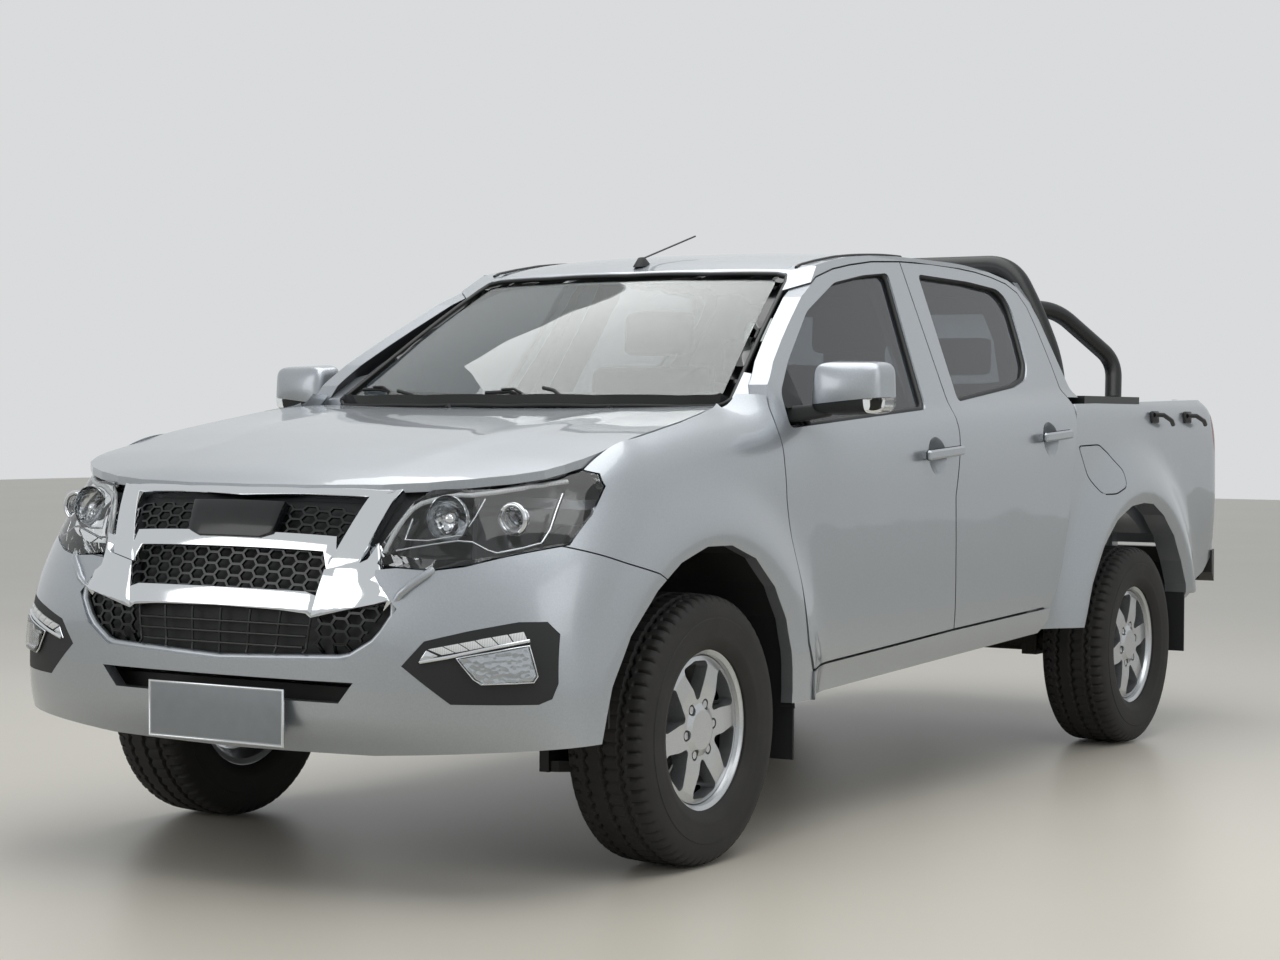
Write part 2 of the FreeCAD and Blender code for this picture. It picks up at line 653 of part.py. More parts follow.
# ---------------------------------------------------------------- cab body
FLOOR_Z = 545.0
front_room = front_door_cut(GAP / 2.0)
rear_room = rear_door_cut(GAP / 2.0)
ring_skin = cab_slab(84.0)
hole_skin = cab_slab(DOOR_T + 9.0)
front_hole = hole_skin.common(front_room)
rear_hole = hole_skin.common(rear_room)
RING = [(300, 1120), (452, 1252), (1030, 1622), (1100, 1650), (1200, 1668), (1334, 1688), (1500, 1702), (1709, 1711),
        (2134, 1713), (2422, 1696), (2560, 1674), (2620, 1650), (2672, 1600), (2690, 1540), (2690, 1262),
        (2560, 1262), (2400, 1262), (452, 1252)]
RING = [(452, 1254)] + RING[2:-1]
ring = ring_skin.common(prism_x(fa(RING), 300, 1000))
ring = ring.cut(front_room).cut(rear_room).cut(box(700, 960, FA + 300, FA + 539, 380, 480))
post_skin = cab_slab(58.0, DOOR_T + NEAR)
B_POST = [(1500, 520), (1500, 940), (1560, 1224), (1640, 1700), (1800, 1705), (1720, 1224), (1640, 940), (1640, 520)]
A_POST = [(432, 470), (432, 1120), (452, 1254), (475, 1275), (560, 1320), (560, 1100), (530, 900), (560, 700),
          (600, 470)]
C_POST = [(2220, 500), (2290, 640), (2370, 850), (2410, 1000), (2470, 1150), (2520, 1260), (2560, 1600),
          (2500, 1690), (2560, 1690), (2660, 1600), (2680, 1262), (2590, 1235), (2534, 1116), (2489, 971),
          (2451, 833), (2403, 697), (2355, 597), (2308, 500)]
b_post = post_skin.common(prism_x(fa(B_POST), 300, 1000))
a_post = post_skin.common(prism_x(fa(A_POST), 300, 1000)).cut(wing)
wide_post = cab_slab(88.0, DOOR_T + NEAR)
c_post = wide_post.common(prism_x(fa(C_POST), 300, 1000))
quarter = prism_x(fa([(2210, FLOOR_Z), (2650, FLOOR_Z), (2650, 1262), (2520, 1262), (2400, 1000), (2330, 740)]),
                  706.0 * SX, 738.0 * SX)
sill_skin = cab_slab(150.0)
SILL = [(545, 392), (2242, 460), (2300, 505), (2303, 541), (2245, 540), (1535, 517), (1138, 499), (535, 473)]
sill = sill_skin.common(prism_x(fa(SILL), 500, 1000)).cut(front_room).cut(rear_room)
inner_sill = prism_x(fa([(560, 440), (2242, 480), (2300, 505), (2303, FLOOR_Z + 15), (560, FLOOR_Z + 15)]),
                     690.0 * SX, 792.0 * SX)
side_parts = [ring, b_post, a_post, c_post, quarter, sill, inner_sill]
left_side = side_parts[0].fuse(side_parts[1:])
floor = box(-760 * SX, 760 * SX, FA + 470, FA + 2650, FLOOR_Z, FLOOR_Z + 15)
firewall = box(-744 * SX, 744 * SX, FA + 470, FA + 486, FLOOR_Z, 1185)
wall = prism_y([(-738 * SX, FLOOR_Z), (738 * SX, FLOOR_Z), (738 * SX, 1262), (800 * SX, 1262),
                (640 * SX, 1600 + CAB_LIFT), (590 * SX, 1672 + CAB_LIFT), (-590 * SX, 1672 + CAB_LIFT),
                (-640 * SX, 1600 + CAB_LIFT), (-800 * SX, 1262), (-738 * SX, 1262)],
               REAR_WALL_Y, REAR_WALL_Y + 40.0)
rear_opening = prism_y([(x * SX, z + CAB_LIFT) for x, z in rear_pane_line], REAR_WALL_Y - 10, REAR_WALL_Y + 60)
wall = wall.cut(rear_opening)
roof_rows = []
for y in steps(FA + 940.0, FA + 2760.0, 60.0):
    roof_rows.append([V(x, y, roof_z(x, y)) for x in steps(-640.0 * SX, 640.0 * SX, 50.0)])
ROOF_LINE = [(0, 990), (300, 1006), (500, 1033), (560, 1045), (594, 1056), (597, 2600), (585, 2660), (540, 2690),
             (0, 2692)]
roof_half = [(x * SX, FA + y) for x, y in ROOF_LINE]
roof_plan = roof_half + [(-x, y) for x, y in roof_half[::-1] if x > 0.1]
roof = net(roof_rows).extrude(V(0, 0, -38)).common(prism_z(roof_plan, 1400, 1900))
roof = roof.cut([front_hole, rear_hole, mirror(front_hole), mirror(rear_hole)])
cowl_line = [(x * SX, FA + y + GAP + 2.0) for x, y in HOOD_REAR]
cowl_line = cowl_line[::-1]
cowl_half = cowl_line + [(744 * SX, FA + 480), (0, FA + 480)]
cowl_plan = cowl_half + [(-x, y) for x, y in cowl_half[::-1] if x > 0.1]
cowl = prism_z(cowl_plan, 1120, 1192)
under_screen = screen_slab(-8.6, -400.0, 900.0 * SX, -0.5, 1.3)
over_screen = screen_slab(-8.6, 400.0, 900.0 * SX, -0.5, 1.3)
screen_hole = screen_slab(-60.0, 400.0, 760.0 * SX, -0.3, 1.3).common(prism_z(screen_outline(0.0), 1000, 2000))
hinge_block = box(600 * SX, 640 * SX, FA + 325, FA + 410, 1130, 1235).cut(hood_slab(-22.0 - NEAR, 400.0))
cowl = cowl.fuse([hinge_block, mirror(hinge_block)]).cut([over_screen, wing, mirror(wing)])
a_front = screen_slab(6.0, 260.0, 900.0 * SX, -0.4, 1.06)
right_side = mirror(left_side)
cab = roof.fuse([left_side, right_side, floor, firewall, wall, cowl])
cab = cab.cut(screen_hole).cut(a_front)
ledge_top = prism_x(fa([(-430, 955), (405, 1008), (405, 983), (-430, 930)]), 455 * SX, 850 * SX)
apron = prism_x(fa([(-520, 560), (470, 560), (470, 1000), (-430, 945), (-520, 800)]), 455 * SX, 467 * SX)
ledge = apron.fuse(ledge_top).cut(wing).cut(headlight).cut(prism_x(fa([(-440, 300), (-440, 1100), (-700, 1100), (-700, 300)]),
                                                 400, 1000))
ledge = biggest(ledge)
support = box(-467 * SX, 467 * SX, FA - 520, FA - 500, 560, 900)
cab = cab.fuse([ledge, mirror(ledge), support])
cab = biggest(one(cab))
nib = box(860, 960, FA + 526, FA + 539, 430, 500)
cab = biggest(cab.cut([nib, mirror(nib)]))
save("cab_body", cab)

# ---------------------------------------------------------------- load bed
BED_T = 84.0
BED_TOP = [(-470, 1236), (160, 1243), (960, 1262)]
BED_FLOOR = 775.0
bed_skin = side_slab(RA - 800.0, RA + 1010.0, 440.0, 1275.0, BED_T, 0.0, bed_x, 40.0)
BED_FRONT = [(2601, 1238), (2545, 1116), (2500, 971), (2462, 833), (2414, 697), (2366, 597), (2318, 500),
             (2300, 466)]
bed_low = [(RA - 560.0, 462), (RA - 560.0, 440), (RA + 500.0, 440), (RA + 505.0, 520), (RA + 624.0, 526),
           (RA + 710.0, 546), (RA + 833.0, 587), (RA + 900.0, 640), (RA + 985.0, 690)]
bed_line = fa(BED_FRONT) + bed_low + [(RA + 1003.0, 780), (RA + 1003.0, 1000), (RA + 985.0, 1180),
                                      (RA + 960.0, 1266)]
bed_side = bed_skin.common(prism_x(bed_line, 400, 1000))
rear_arch = prism_x([(RA - 604.0, 200.0)] + ra(REAR_ARCH) + [(RA + 505.0, 200.0)], 500.0, 1000.0)
bed_side = bed_side.cut(rear_arch)
HOUSE_R = 500.0
house = box(600 * SX, 800 * SX, FA + 2702, RA + 520, BED_FLOOR - 20, 905)
wheel_well = rod((608 * SX, RA, AXLE_Z - 5), (806 * SX, RA, AXLE_Z - 5), HOUSE_R)
lamp_zone = prism_x([(RA + 872.0, 1205), (RA + 1040.0, 1205), (RA + 1040.0, 785), (RA + 930.0, 785),
                     (RA + 944.0, 900), (RA + 936.0, 1000), (RA + 884.0, 1110)], 790 * SX, 1000)
lamp_grown = prism_x(grow([(RA + 872.0, 1205), (RA + 1040.0, 1205), (RA + 1040.0, 785), (RA + 930.0, 785),
                           (RA + 944.0, 900), (RA + 936.0, 1000), (RA + 884.0, 1110)], 0.4), 789.6 * SX, 1000)
tail_light = biggest(bed_side.common(lamp_zone))
bed_side = bed_side.cut(lamp_grown)
save("tail_lights", both(tail_light))

FLAP = [(2588, 1088), (2770, 1092), (2850, 1062), (2935, 1000), (2925, 945), (2835, 921), (2745, 921), (2668, 985)]
flap_line = fa(FLAP)
FLAP_T = 14.0
flap_skin = side_slab(RA - 700.0, RA + 100.0, 880.0, 1130.0, FLAP_T, 0.0, bed_x)
flap = biggest(flap_skin.common(prism_x(soften(flap_line, 22.0), 700, 1000)))
save("fuel_flap", flap)
pocket = prism_x(soften(grow(flap_line, GAP), 24.0), 826 * SX, 1000)
flap_stop = side_slab(RA - 700.0, RA + 100.0, 880.0, 1130.0, 60.0, FLAP_T + NEAR, bed_x).common(
    rod((800, FA + 2790, 1005), (1000, FA + 2790, 1005), 34.0))
left_bed = biggest(one(bed_side.cut(pocket).fuse(flap_stop)))
right_bed = mirror(biggest(one(bed_side)))
bed_floor = box(-796 * SX, 796 * SX, FA + 2702, RA + 945, BED_FLOOR - 20, BED_FLOOR)
head = box(-796 * SX, 796 * SX, FA + 2702, FA + 2742, BED_FLOOR - 20, 1238)
bed_floor = bed_floor.fuse([house, mirror(house)]).cut([wheel_well, mirror(wheel_well)])
RAIL_X = 435.0
RAIL_Z = 540.0
bearers = []
for v in (-345.0, -150.0, 600.0, 880.0):
    for s in (-1, 1):
        bearers.append(box(s * RAIL_X - 34, s * RAIL_X + 34, RA + v - 30, RA + v + 30, RAIL_Z, BED_FLOOR - 10))
posts = []
for s in (-1, 1):
    x0 = min(s * 704.0 * SX, s * 796.0 * SX)
    posts.append(box(x0, x0 + 92.0 * SX, RA + 905, RA + 944, 690, 1225))
bed = left_bed.fuse([right_bed, bed_floor, head] + bearers)
sill_bar = box(-796 * SX, 796 * SX, RA + 905, RA + 945, 690, BED_FLOOR)
bed = bed.fuse(sill_bar)
GATE_Z0 = 700.0
GATE_Z1 = 1252.0
GATE_Y0 = RA + 950.0
GATE_Y1 = RA + 1003.0
GATE_X = 742.0 * SX
gate_room = box(-GATE_X - GAP, GATE_X + GAP, GATE_Y0 - 4.0, GATE_Y1 + 60.0, 600.0, 1400.0)
bed = bed.cut(gate_room)
corner = box(742 * SX + GAP, 800 * SX, RA + 900, RA + 990, 690, 1225)
gate_rest = box(-400.0, 400.0, RA + 935, GATE_Y0 - NEAR, GATE_Z0, 760)
bed = bed.fuse([corner.cut(lamp_grown), mirror(corner.cut(lamp_grown)), gate_rest])
bed = biggest(one(bed))
save("load_bed", bed)

gate = box(-GATE_X, GATE_X, GATE_Y0, GATE_Y1, GATE_Z0, GATE_Z1)
gate = gate.makeFillet(10.0, [e for e in gate.Edges if e.BoundBox.YMin > GATE_Y1 - 1.0])
catch = box(-110, 110, GATE_Y1 - 14, GATE_Y1 + 40, 1085, 1165)
gate = gate.cut(catch)
pull = box(-88, 88, GATE_Y1 - 12, GATE_Y1 + 2, 1122, 1150)
pull_foot = box(-40, 40, GATE_Y1 - 16, GATE_Y1 - 8, 1110, 1140)
gate = biggest(one(gate.fuse([pull, pull_foot])))
save("tailgate", gate)

# ---------------------------------------------------------------- sports bar
BAR_R = 38.0


def tube(points, r, bend=120.0):
    """A round tube through points with its corners bent smoothly."""
    pts = [V(*p) for p in points]
    parts = []
    last = pts[0]
    for i in range(1, len(pts) - 1):
        a = pts[i] - pts[i - 1]
        b = pts[i + 1] - pts[i]
        k = min(bend, a.Length * 0.45, b.Length * 0.45)
        p = pts[i] - a.normalize() * k
        q = pts[i] + b.normalize() * k
        parts.append(Part.makeLine(last, p))
        c = Part.BezierCurve()
        c.setPoles([p, pts[i], q])
        parts.append(c.toShape())
        last = q
    parts.append(Part.makeLine(last, pts[-1]))
    wire = Part.Wire(parts)
    ring_edge = Part.Wire([Part.makeCircle(r, pts[0], pts[1] - pts[0])])
    return wire.makePipeShell([ring_edge], True, False)


hoop_y = FA + 2736.0
HOOP = [(726, 1238), (706, 1400), (640, 1560), (545, 1738)]
hoop_pts = [(x * SX, hoop_y, z) for x, z in HOOP]
hoop = tube(hoop_pts + [(-x, y, z) for x, y, z in hoop_pts[::-1]], BAR_R, 150.0)
leg = tube([(590, FA + 2730, 1588), (660, FA + 2890, 1578), (790, FA + 3120, 1400), (806, FA + 3075, 1262)], 30.0, 70.0)
leg_plate = prism_z([(774, FA + 2700), (846, FA + 2700), (846, FA + 3235), (774, FA + 3235)], 1238.0, 1268.0)
hoop_plate = box(660, 790, FA + 2704, FA + 2740, 1238.0, 1246.0)
bar = hoop.fuse([leg, mirror(leg), leg_plate, mirror(leg_plate), hoop_plate, mirror(hoop_plate)])
bar = bar.cut(bed)
bar = biggest(one(bar))
save("sports_bar", bar)

# ---------------------------------------------------------------- chassis
side_rail = box(RAIL_X - 35, RAIL_X + 35, FA - 800, RA + 1010, RAIL_Z - 120, RAIL_Z)
cross = []
for y in (FA - 780, FA - 330, FA + 330, FA + 900, FA + 1500, FA + 2150, RA - 480, RA + 420, RA + 960):
    cross.append(box(-RAIL_X, RAIL_X, y - 30, y + 30, RAIL_Z - 110, RAIL_Z - 30))
skid = prism_x(fa([(-800, 385), (-740, 318), (-420, 300), (-330, 330), (-330, 345), (-420, 316), (-730, 334),
                   (-780, 392)]), -330, 330)
hangers = []
for s in (-1, 1):
    hangers.append(box(s * RAIL_X - 35, s * RAIL_X + 35, FA - 800, FA - 760, 380, 430))
chassis = side_rail.fuse([mirror(side_rail), skid] + cross + hangers)
chassis = chassis.cut(bumper)
chassis = biggest(one(chassis))
save("chassis_frame", chassis)

engine = box(-260, 260, FA - 430, FA + 400, 500, 930)
engine = engine.fuse([box(-400, 400, FA - 60, FA + 60, 500, 540), box(-150, 150, FA + 400, FA + 455, 520, 800)])
engine = biggest(one(engine.cut(chassis)))
save("engine_block", engine)

rear_plan = [(0, 1105), (400, 1102), (640, 1088), (760, 1060), (842, 1000), (868, 900), (812, 900), (790, 975),
             (725, 1012), (620, 1034), (400, 1046), (0, 1050)]
rear_half = [(x * SX, RA + y) for x, y in rear_plan]
rear_plan_all = rear_half + [(-x, y) for x, y in rear_half[::-1] if x > 0.1]
rear_bumper = prism_z(rear_plan_all, 540, 668)
rear_bumper = rear_bumper.cut(prism_x([(RA + 850, 500), (RA + 1000, 540), (RA + 850, 600)], -1000, 1000))
tow_arm = []
for s in (-1, 1):
    tow_arm.append(box(s * RAIL_X - 30, s * RAIL_X + 30, RA + 1010, RA + 1060, 545, 600))
rear_bumper = rear_bumper.fuse(tow_arm + [box(-RAIL_X, RAIL_X, RA + 1011, RA + 1030, 520, 600)])
rear_bumper = biggest(one(rear_bumper.cut(chassis).cut(bed)))
save("rear_bumper", rear_bumper)

# ---------------------------------------------------------------- wheels
FACE_X = 88.0            # spoke face from the wheel's middle plane


def turned(points):
    """Closed (along x, radius) outline turned about the X axis."""
    face = poly([(x, 0, r) for x, r in points])
    return face.revolve(V(0, 0, 0), V(1, 0, 0), 360)


def make_tyre():
    w = TYRE_W / 2.0
    r = TYRE_R
    side = [(86, BEAD_R + 1.4), (88, BEAD_R + 14), (104, BEAD_R + 22), (w - 4, 258), (w, 285), (w - 2, 312),
            (w - 10, 334), (w - 17, r - 12), (w - 27, r - 3.5), (w - 45, r)]
    line = side + [(-x, q) for x, q in side[::-1]]
    body = turned(line)
    return body.Solids[0]


def make_rim():
    b = BEAD_R
    profile = [(96, b + 15), (88, b + 13), (86.5, b + 1), (60, b - 2), (34, b - 24), (-40, b - 26), (-78, b - 3),
               (-86.5, b + 1), (-88, b + 13), (-96, b + 14), (-96, b + 6), (-90, b - 10), (-46, b - 36),
               (28, b - 34), (52, b - 30), (66, b - 9), (86, b - 2), (92, b + 6)]
    barrel = turned(profile)
    disc = turned([(48, b - 20), (76, b - 8), (82, b - 30), (84, 120), (80, 70), (88, 52), (88, 0), (10, 0),
                   (10, 70), (30, 90), (44, 120), (46, b - 40)])
    windows = []
    for i in range(6):
        a0 = math.radians(60.0 * i + 30.0)
        ri = 82.0
        ro = b - 19.0
        hi = math.radians(5.0)
        ho = math.radians(20.5)
        pts = []
        for r, h in ((ri, -hi), (ri + 30, -math.radians(11.5)), (ro - 14, -ho), (ro, -ho * 0.86), (ro + 1, 0),
                     (ro, ho * 0.86), (ro - 14, ho), (ri + 30, math.radians(11.5)), (ri, hi)):
            pts.append((r * math.cos(a0 + h), r * math.sin(a0 + h)))
        windows.append(prism_x(soften(pts, 9.0), 0.0, 130.0))
    for i in range(6):
        a0 = math.radians(60.0 * i)
        c = (69.85 * math.cos(a0), 69.85 * math.sin(a0))
        windows.append(rod((62, c[0], c[1]), (130, c[0], c[1]), 15.0))
        windows.append(rod((0, c[0], c[1]), (130, c[0], c[1]), 7.0))
    rim = barrel.fuse(disc).cut(windows)
    rim = rim.cut(rod((0, 0, 0), (60, 0, 0), 30.0 + NEAR))
    nuts = []
    for i in range(6):
        a0 = math.radians(60.0 * i)
        c = (69.85 * math.cos(a0), 69.85 * math.sin(a0))
        nuts.append(rod((20, c[0], c[1]), (80, c[0], c[1]), 10.0))
    rim = rim.fuse(nuts)
    return biggest(one(rim))


tyre = make_tyre()
rim = make_rim()


def placed(shape, side, y, turn=0.0):
    s = shape.copy()
    if turn:
        s.rotate(V(0, 0, 0), V(1, 0, 0), turn)
    if side < 0:
        s = mirror(s)
    s.translate(V(side * HALF_TRACK, y, AXLE_Z))
    return s


for label, side, y, turn in (("front_left", 1, FA, 8.0), ("front_right", -1, FA, 20.0),
                             ("rear_left", 1, RA, 14.0), ("rear_right", -1, RA, 2.0)):
    save("tyre_" + label, placed(tyre, side, y, turn))
    save("wheel_" + label, placed(rim, side, y, turn))

# ---------------------------------------------------------------- axles, knuckles, springs
KING_X = HALF_TRACK - 95.0
STUB_R = 30.0


def make_knuckle():
    post = box(KING_X - 24, KING_X + 24, FA - 34, FA + 34, AXLE_Z - 92, AXLE_Z + 112)
    post = post.makeFillet(10.0, post.Edges)
    stub = rod((KING_X, FA, AXLE_Z), (HALF_TRACK + 50, FA, AXLE_Z), STUB_R)
    disc = rod((KING_X + 20, FA, AXLE_Z), (KING_X + 34, FA, AXLE_Z), 148.0)
    calliper = box(KING_X + 10, KING_X + 62, FA + 70, FA + 130, AXLE_Z - 70, AXLE_Z + 80)
    return biggest(one(post.fuse([stub, disc, calliper])))


knuckle = make_knuckle()
save("knuckle_left", knuckle)
save("knuckle_right", mirror(knuckle))


def make_arms():
    low = prism_z([(470.0, FA - 170), (470.0, FA + 170), (520, FA + 150), (KING_X + 2, FA + 18),
                   (KING_X + 2, FA - 18), (520, FA - 150)], AXLE_Z - 122, AXLE_Z - 92 - NEAR)
    top = prism_z([(470.0, FA - 110), (470.0, FA + 110), (510, FA + 90), (KING_X + 2, FA + 16),
                   (KING_X + 2, FA - 16), (510, FA - 90)], AXLE_Z + 112 + NEAR, AXLE_Z + 136)
    drop = box(470.0, 500.0, FA - 170, FA + 170, AXLE_Z - 122, AXLE_Z + 136)
    hole = box(460.0, 510.0, FA - 80, FA + 80, AXLE_Z - 60, AXLE_Z + 40)
    strut = rod((540, FA - 20, AXLE_Z - 100), (505, FA - 20, AXLE_Z + 420), 32.0)
    return biggest(one(low.fuse([top, drop, strut]).cut(hole)))


arms = make_arms()
save("front_suspension", both(arms))

casing = rod((-HALF_TRACK + 70, RA, AXLE_Z), (HALF_TRACK - 70, RA, AXLE_Z), 42.0)
drums = []
for s in (-1, 1):
    drums.append(rod((s * (HALF_TRACK - 75), RA, AXLE_Z), (s * (HALF_TRACK - 8), RA, AXLE_Z), 135.0))
    drums.append(rod((s * (HALF_TRACK - 9), RA, AXLE_Z), (s * (HALF_TRACK + 50), RA, AXLE_Z), STUB_R))
diff = rod((-85, RA, AXLE_Z), (85, RA, AXLE_Z), 112.0)
diff = diff.makeFillet(38.0, diff.Edges)
leaf_line = [(-640, 488), (-480, 452), (-250, 424), (0, 414), (250, 424), (480, 452), (640, 488), (640, 462),
             (480, 426), (250, 397), (0, 378), (-250, 397), (-480, 426), (-640, 462)]
leaf = prism_x(ra(leaf_line), RAIL_X + 35, RAIL_X + 95)
clamp = box(RAIL_X + 36, RAIL_X + 94, RA - 60, RA + 60, AXLE_Z - 52, 424)
rear_axle = casing.fuse([diff, leaf, mirror(leaf), clamp, mirror(clamp)] + drums)
rear_axle = biggest(one(rear_axle))
save("rear_axle", rear_axle)

shaft = rod((0, FA + 455.5, 500), (0, RA - 100, 400), 32.0)
shaft = shaft.cut([chassis, rear_axle, engine])
prop = biggest(shaft)

# ---------------------------------------------------------------- arch liners and mud flaps
liner_line = fa([(-505, 420), (-505, 545), (-432, 655), (-318, 755), (-200, 822), (-69, 858), (60, 857),
                 (196, 816), (308, 732), (380, 634), (415, 540), (440, 430), (448, 380)])
outer = grow(liner_line + [(FA, 300.0)], 5.0)
liner = prism_x(outer, 467 * SX, 905 * SX).cut(prism_x([(FA - 600, 200)] + liner_line + [(FA + 600, 200)], 400, 1000))
liner = biggest(liner.cut([wing, bumper, headlight, cab, chassis]))
save("front_arch_liners", both(liner))


def flap_at(y, z0, z1, x0, x1):
    return box(x0, x1, y, y + 8.0, z0, z1)


front_flap = flap_at(FA + 450.0, 232.0, 560.0, 655.0, 900.0).cut([wing, cab, liner])
front_flap = biggest(front_flap)
rear_flap = flap_at(RA + 478.0, 300.0, 640.0, 660.0, 905.0).cut([bed])
rear_flap = biggest(rear_flap)
save("mud_flaps", both(front_flap) + both(rear_flap))

# ---------------------------------------------------------------- cabin
dash_line = fa([(487, 800), (700, 800), (800, 900), (830, 1010), (790, 1100), (690, 1150), (560, 1178), (487, 1184)])
dash = prism_x(dash_line, -735 * SX, 735 * SX)
console = box(-120, 120, FA + 640, FA + 1120, FLOOR_Z + 15, 840)
dash = biggest(one(dash.fuse([console, box(-120, 120, FA + 1120, FA + 1700, FLOOR_Z + 15, 790)])
                   .cut([cab, windscreen])))
save("dashboard", dash)

COL = V(370.0, FA + 960.0, 1080.0)
COL_AXIS = V(0, math.cos(math.radians(25)), math.sin(math.radians(25)))


def make_steering_wheel():
    ring_t = Part.makeTorus(182.0, 15.0, COL, COL_AXIS)
    hub = Part.makeCylinder(52.0, 40.0, COL - COL_AXIS * 45.0, COL_AXIS)
    arms_t = []
    for ang in (0.0, 180.0, 270.0):
        a = math.radians(ang)
        side = V(1, 0, 0) * math.cos(a) + V(0, -COL_AXIS.z, COL_AXIS.y) * math.sin(a)
        p = COL - COL_AXIS * 22.0
        arms_t.append(Part.makeCylinder(13.0, 176.0, p, side + COL_AXIS * 0.09))
    col = Part.makeCylinder(22.0, 160.0, COL - COL_AXIS * 200.0, COL_AXIS)
    return biggest(one(ring_t.fuse([hub, col] + arms_t)))


steering = make_steering_wheel()
room = Part.makeCylinder(22.0 + NEAR, 300.0, COL - COL_AXIS * 200.3, COL_AXIS)
hub_room = Part.makeCylinder(60.0, 300.0, COL - COL_AXIS * 50.0, COL_AXIS)
cowling = Part.makeCylinder(45.0, 150.0, COL - COL_AXIS * 205.0, COL_AXIS).cut(room).cut(hub_room)
dash = biggest(one(dash.fuse(cowling).cut(room)))
save("dashboard", dash)
save("steering_wheel", steering)


def seat(x0, x1, y0):
    base = box(x0 + 40, x1 - 40, y0 + 60, y0 + 420, FLOOR_Z + 15, 730)
    cushion = prism_x([(y0, 720), (y0 + 500, 700), (y0 + 520, 830), (y0 + 60, 880), (y0, 850)], x0, x1)
    back = prism_x([(y0 + 440, 780), (y0 + 560, 760), (y0 + 720, 1330), (y0 + 680, 1370), (y0 + 620, 1360)],
                   x0 + 15, x1 - 15)
    rest = prism_x([(y0 + 640, 1395), (y0 + 730, 1385), (y0 + 755, 1530), (y0 + 690, 1560), (y0 + 660, 1530)],
                   (x0 + x1) / 2 - 130, (x0 + x1) / 2 + 130)
    xm = (x0 + x1) / 2.0
    pins = [rod((xm + s * 60, y0 + 665, 1330), (xm + s * 60, y0 + 690, 1420), 7.0) for s in (-1, 1)]
    return biggest(one(base.fuse([cushion, back, rest] + pins)))


save("front_seats", [seat(135, 640, FA + 1130), seat(-640, -135, FA + 1130)])


def bench():
    y0 = FA + 2010.0
    base = box(-560, 560, y0 + 60, y0 + 430, FLOOR_Z + 15, 730)
    cushion = prism_x([(y0, 740), (y0 + 480, 700), (y0 + 500, 840), (y0 + 60, 890), (y0, 860)], -655, 655)
    back = prism_x([(y0 + 440, 780), (y0 + 600, 760), (y0 + 634, 1330), (y0 + 570, 1360)], -600, 600)
    pieces = [cushion, back]
    for xm in (-370, 370):
        rest = prism_x([(y0 + 560, 1385), (y0 + 635, 1385), (y0 + 635, 1490), (y0 + 575, 1490)], xm - 120, xm + 120)
        pieces.append(rest)
        for s in (-1, 1):
            pieces.append(rod((xm + s * 60, y0 + 600, 1300), (xm + s * 60, y0 + 600, 1400), 7.0))
    return biggest(one(base.fuse(pieces)))


save("rear_bench", bench())

# ---------------------------------------------------------------- tank, exhaust, shaft
tank = box(-392, -170, FA + 1560, FA + 2100, 345, 500)
tank = biggest(tank.makeFillet(30.0, tank.Edges).fuse([box(-400, -392, FA + 1600, FA + 1640, 440, 480),
                                                       box(-400, -392, FA + 2020, FA + 2060, 440, 480)]).cut(chassis))
save("fuel_tank", tank)
save("propeller_shaft", prop)
print("done")
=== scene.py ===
# %% [markdown]
# # A pickup truck with a double cab
# The truck's solids come in from the shared frame, true to size. Blender adds what the eye looks for:
# paint and glass, chrome, lamps, seals, tread and cushions. Each step says what the real thing is, how it
# could be made, and why one way was picked. Lengths are metres. The nose points along -Y, the truck's
# left along +X, and Z is up.

# %% Load the frame
import bpy
import json
import math
from mathutils import Matrix, Vector
from mathutils.bvhtree import BVHTree

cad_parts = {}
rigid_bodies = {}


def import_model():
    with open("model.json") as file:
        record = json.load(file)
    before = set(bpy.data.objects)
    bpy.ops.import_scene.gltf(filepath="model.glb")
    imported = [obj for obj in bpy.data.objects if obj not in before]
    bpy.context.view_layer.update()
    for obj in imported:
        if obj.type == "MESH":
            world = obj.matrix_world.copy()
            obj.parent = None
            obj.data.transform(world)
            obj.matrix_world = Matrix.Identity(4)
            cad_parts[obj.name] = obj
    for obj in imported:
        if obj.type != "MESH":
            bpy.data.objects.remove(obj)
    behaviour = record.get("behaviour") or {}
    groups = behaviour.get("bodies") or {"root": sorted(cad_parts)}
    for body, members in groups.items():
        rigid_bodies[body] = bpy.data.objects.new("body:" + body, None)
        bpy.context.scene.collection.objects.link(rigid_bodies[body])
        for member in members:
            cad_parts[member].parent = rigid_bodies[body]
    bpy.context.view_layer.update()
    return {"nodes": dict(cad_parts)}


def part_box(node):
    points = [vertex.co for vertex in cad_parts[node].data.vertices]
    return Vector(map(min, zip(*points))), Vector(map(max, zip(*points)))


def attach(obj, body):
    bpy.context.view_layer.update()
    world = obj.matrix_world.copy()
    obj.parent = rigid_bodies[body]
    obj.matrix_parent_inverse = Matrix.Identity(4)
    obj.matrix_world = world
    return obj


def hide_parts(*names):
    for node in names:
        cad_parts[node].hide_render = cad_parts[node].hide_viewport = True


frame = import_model()
nodes = frame["nodes"]
scene = bpy.context.scene
scene.view_settings.view_transform = "Standard"
FRONT = -1.640
REAR = 1.455

# %% [markdown]
# ## Small helpers
# Operators act on whatever is selected, so everything is let go before a new piece starts. `use` picks one
# object, and `finish_piece` puts its place into its mesh, because the frame's own nodes keep theirs there.

# %% Selecting and finishing
def clear():
    if bpy.context.object and bpy.context.object.mode != "OBJECT":
        bpy.ops.object.mode_set(mode="OBJECT")
    for thing in bpy.data.objects:
        thing.select_set(False)


def use(thing):
    clear()
    thing.select_set(True)
    bpy.context.view_layer.objects.active = thing
    return thing


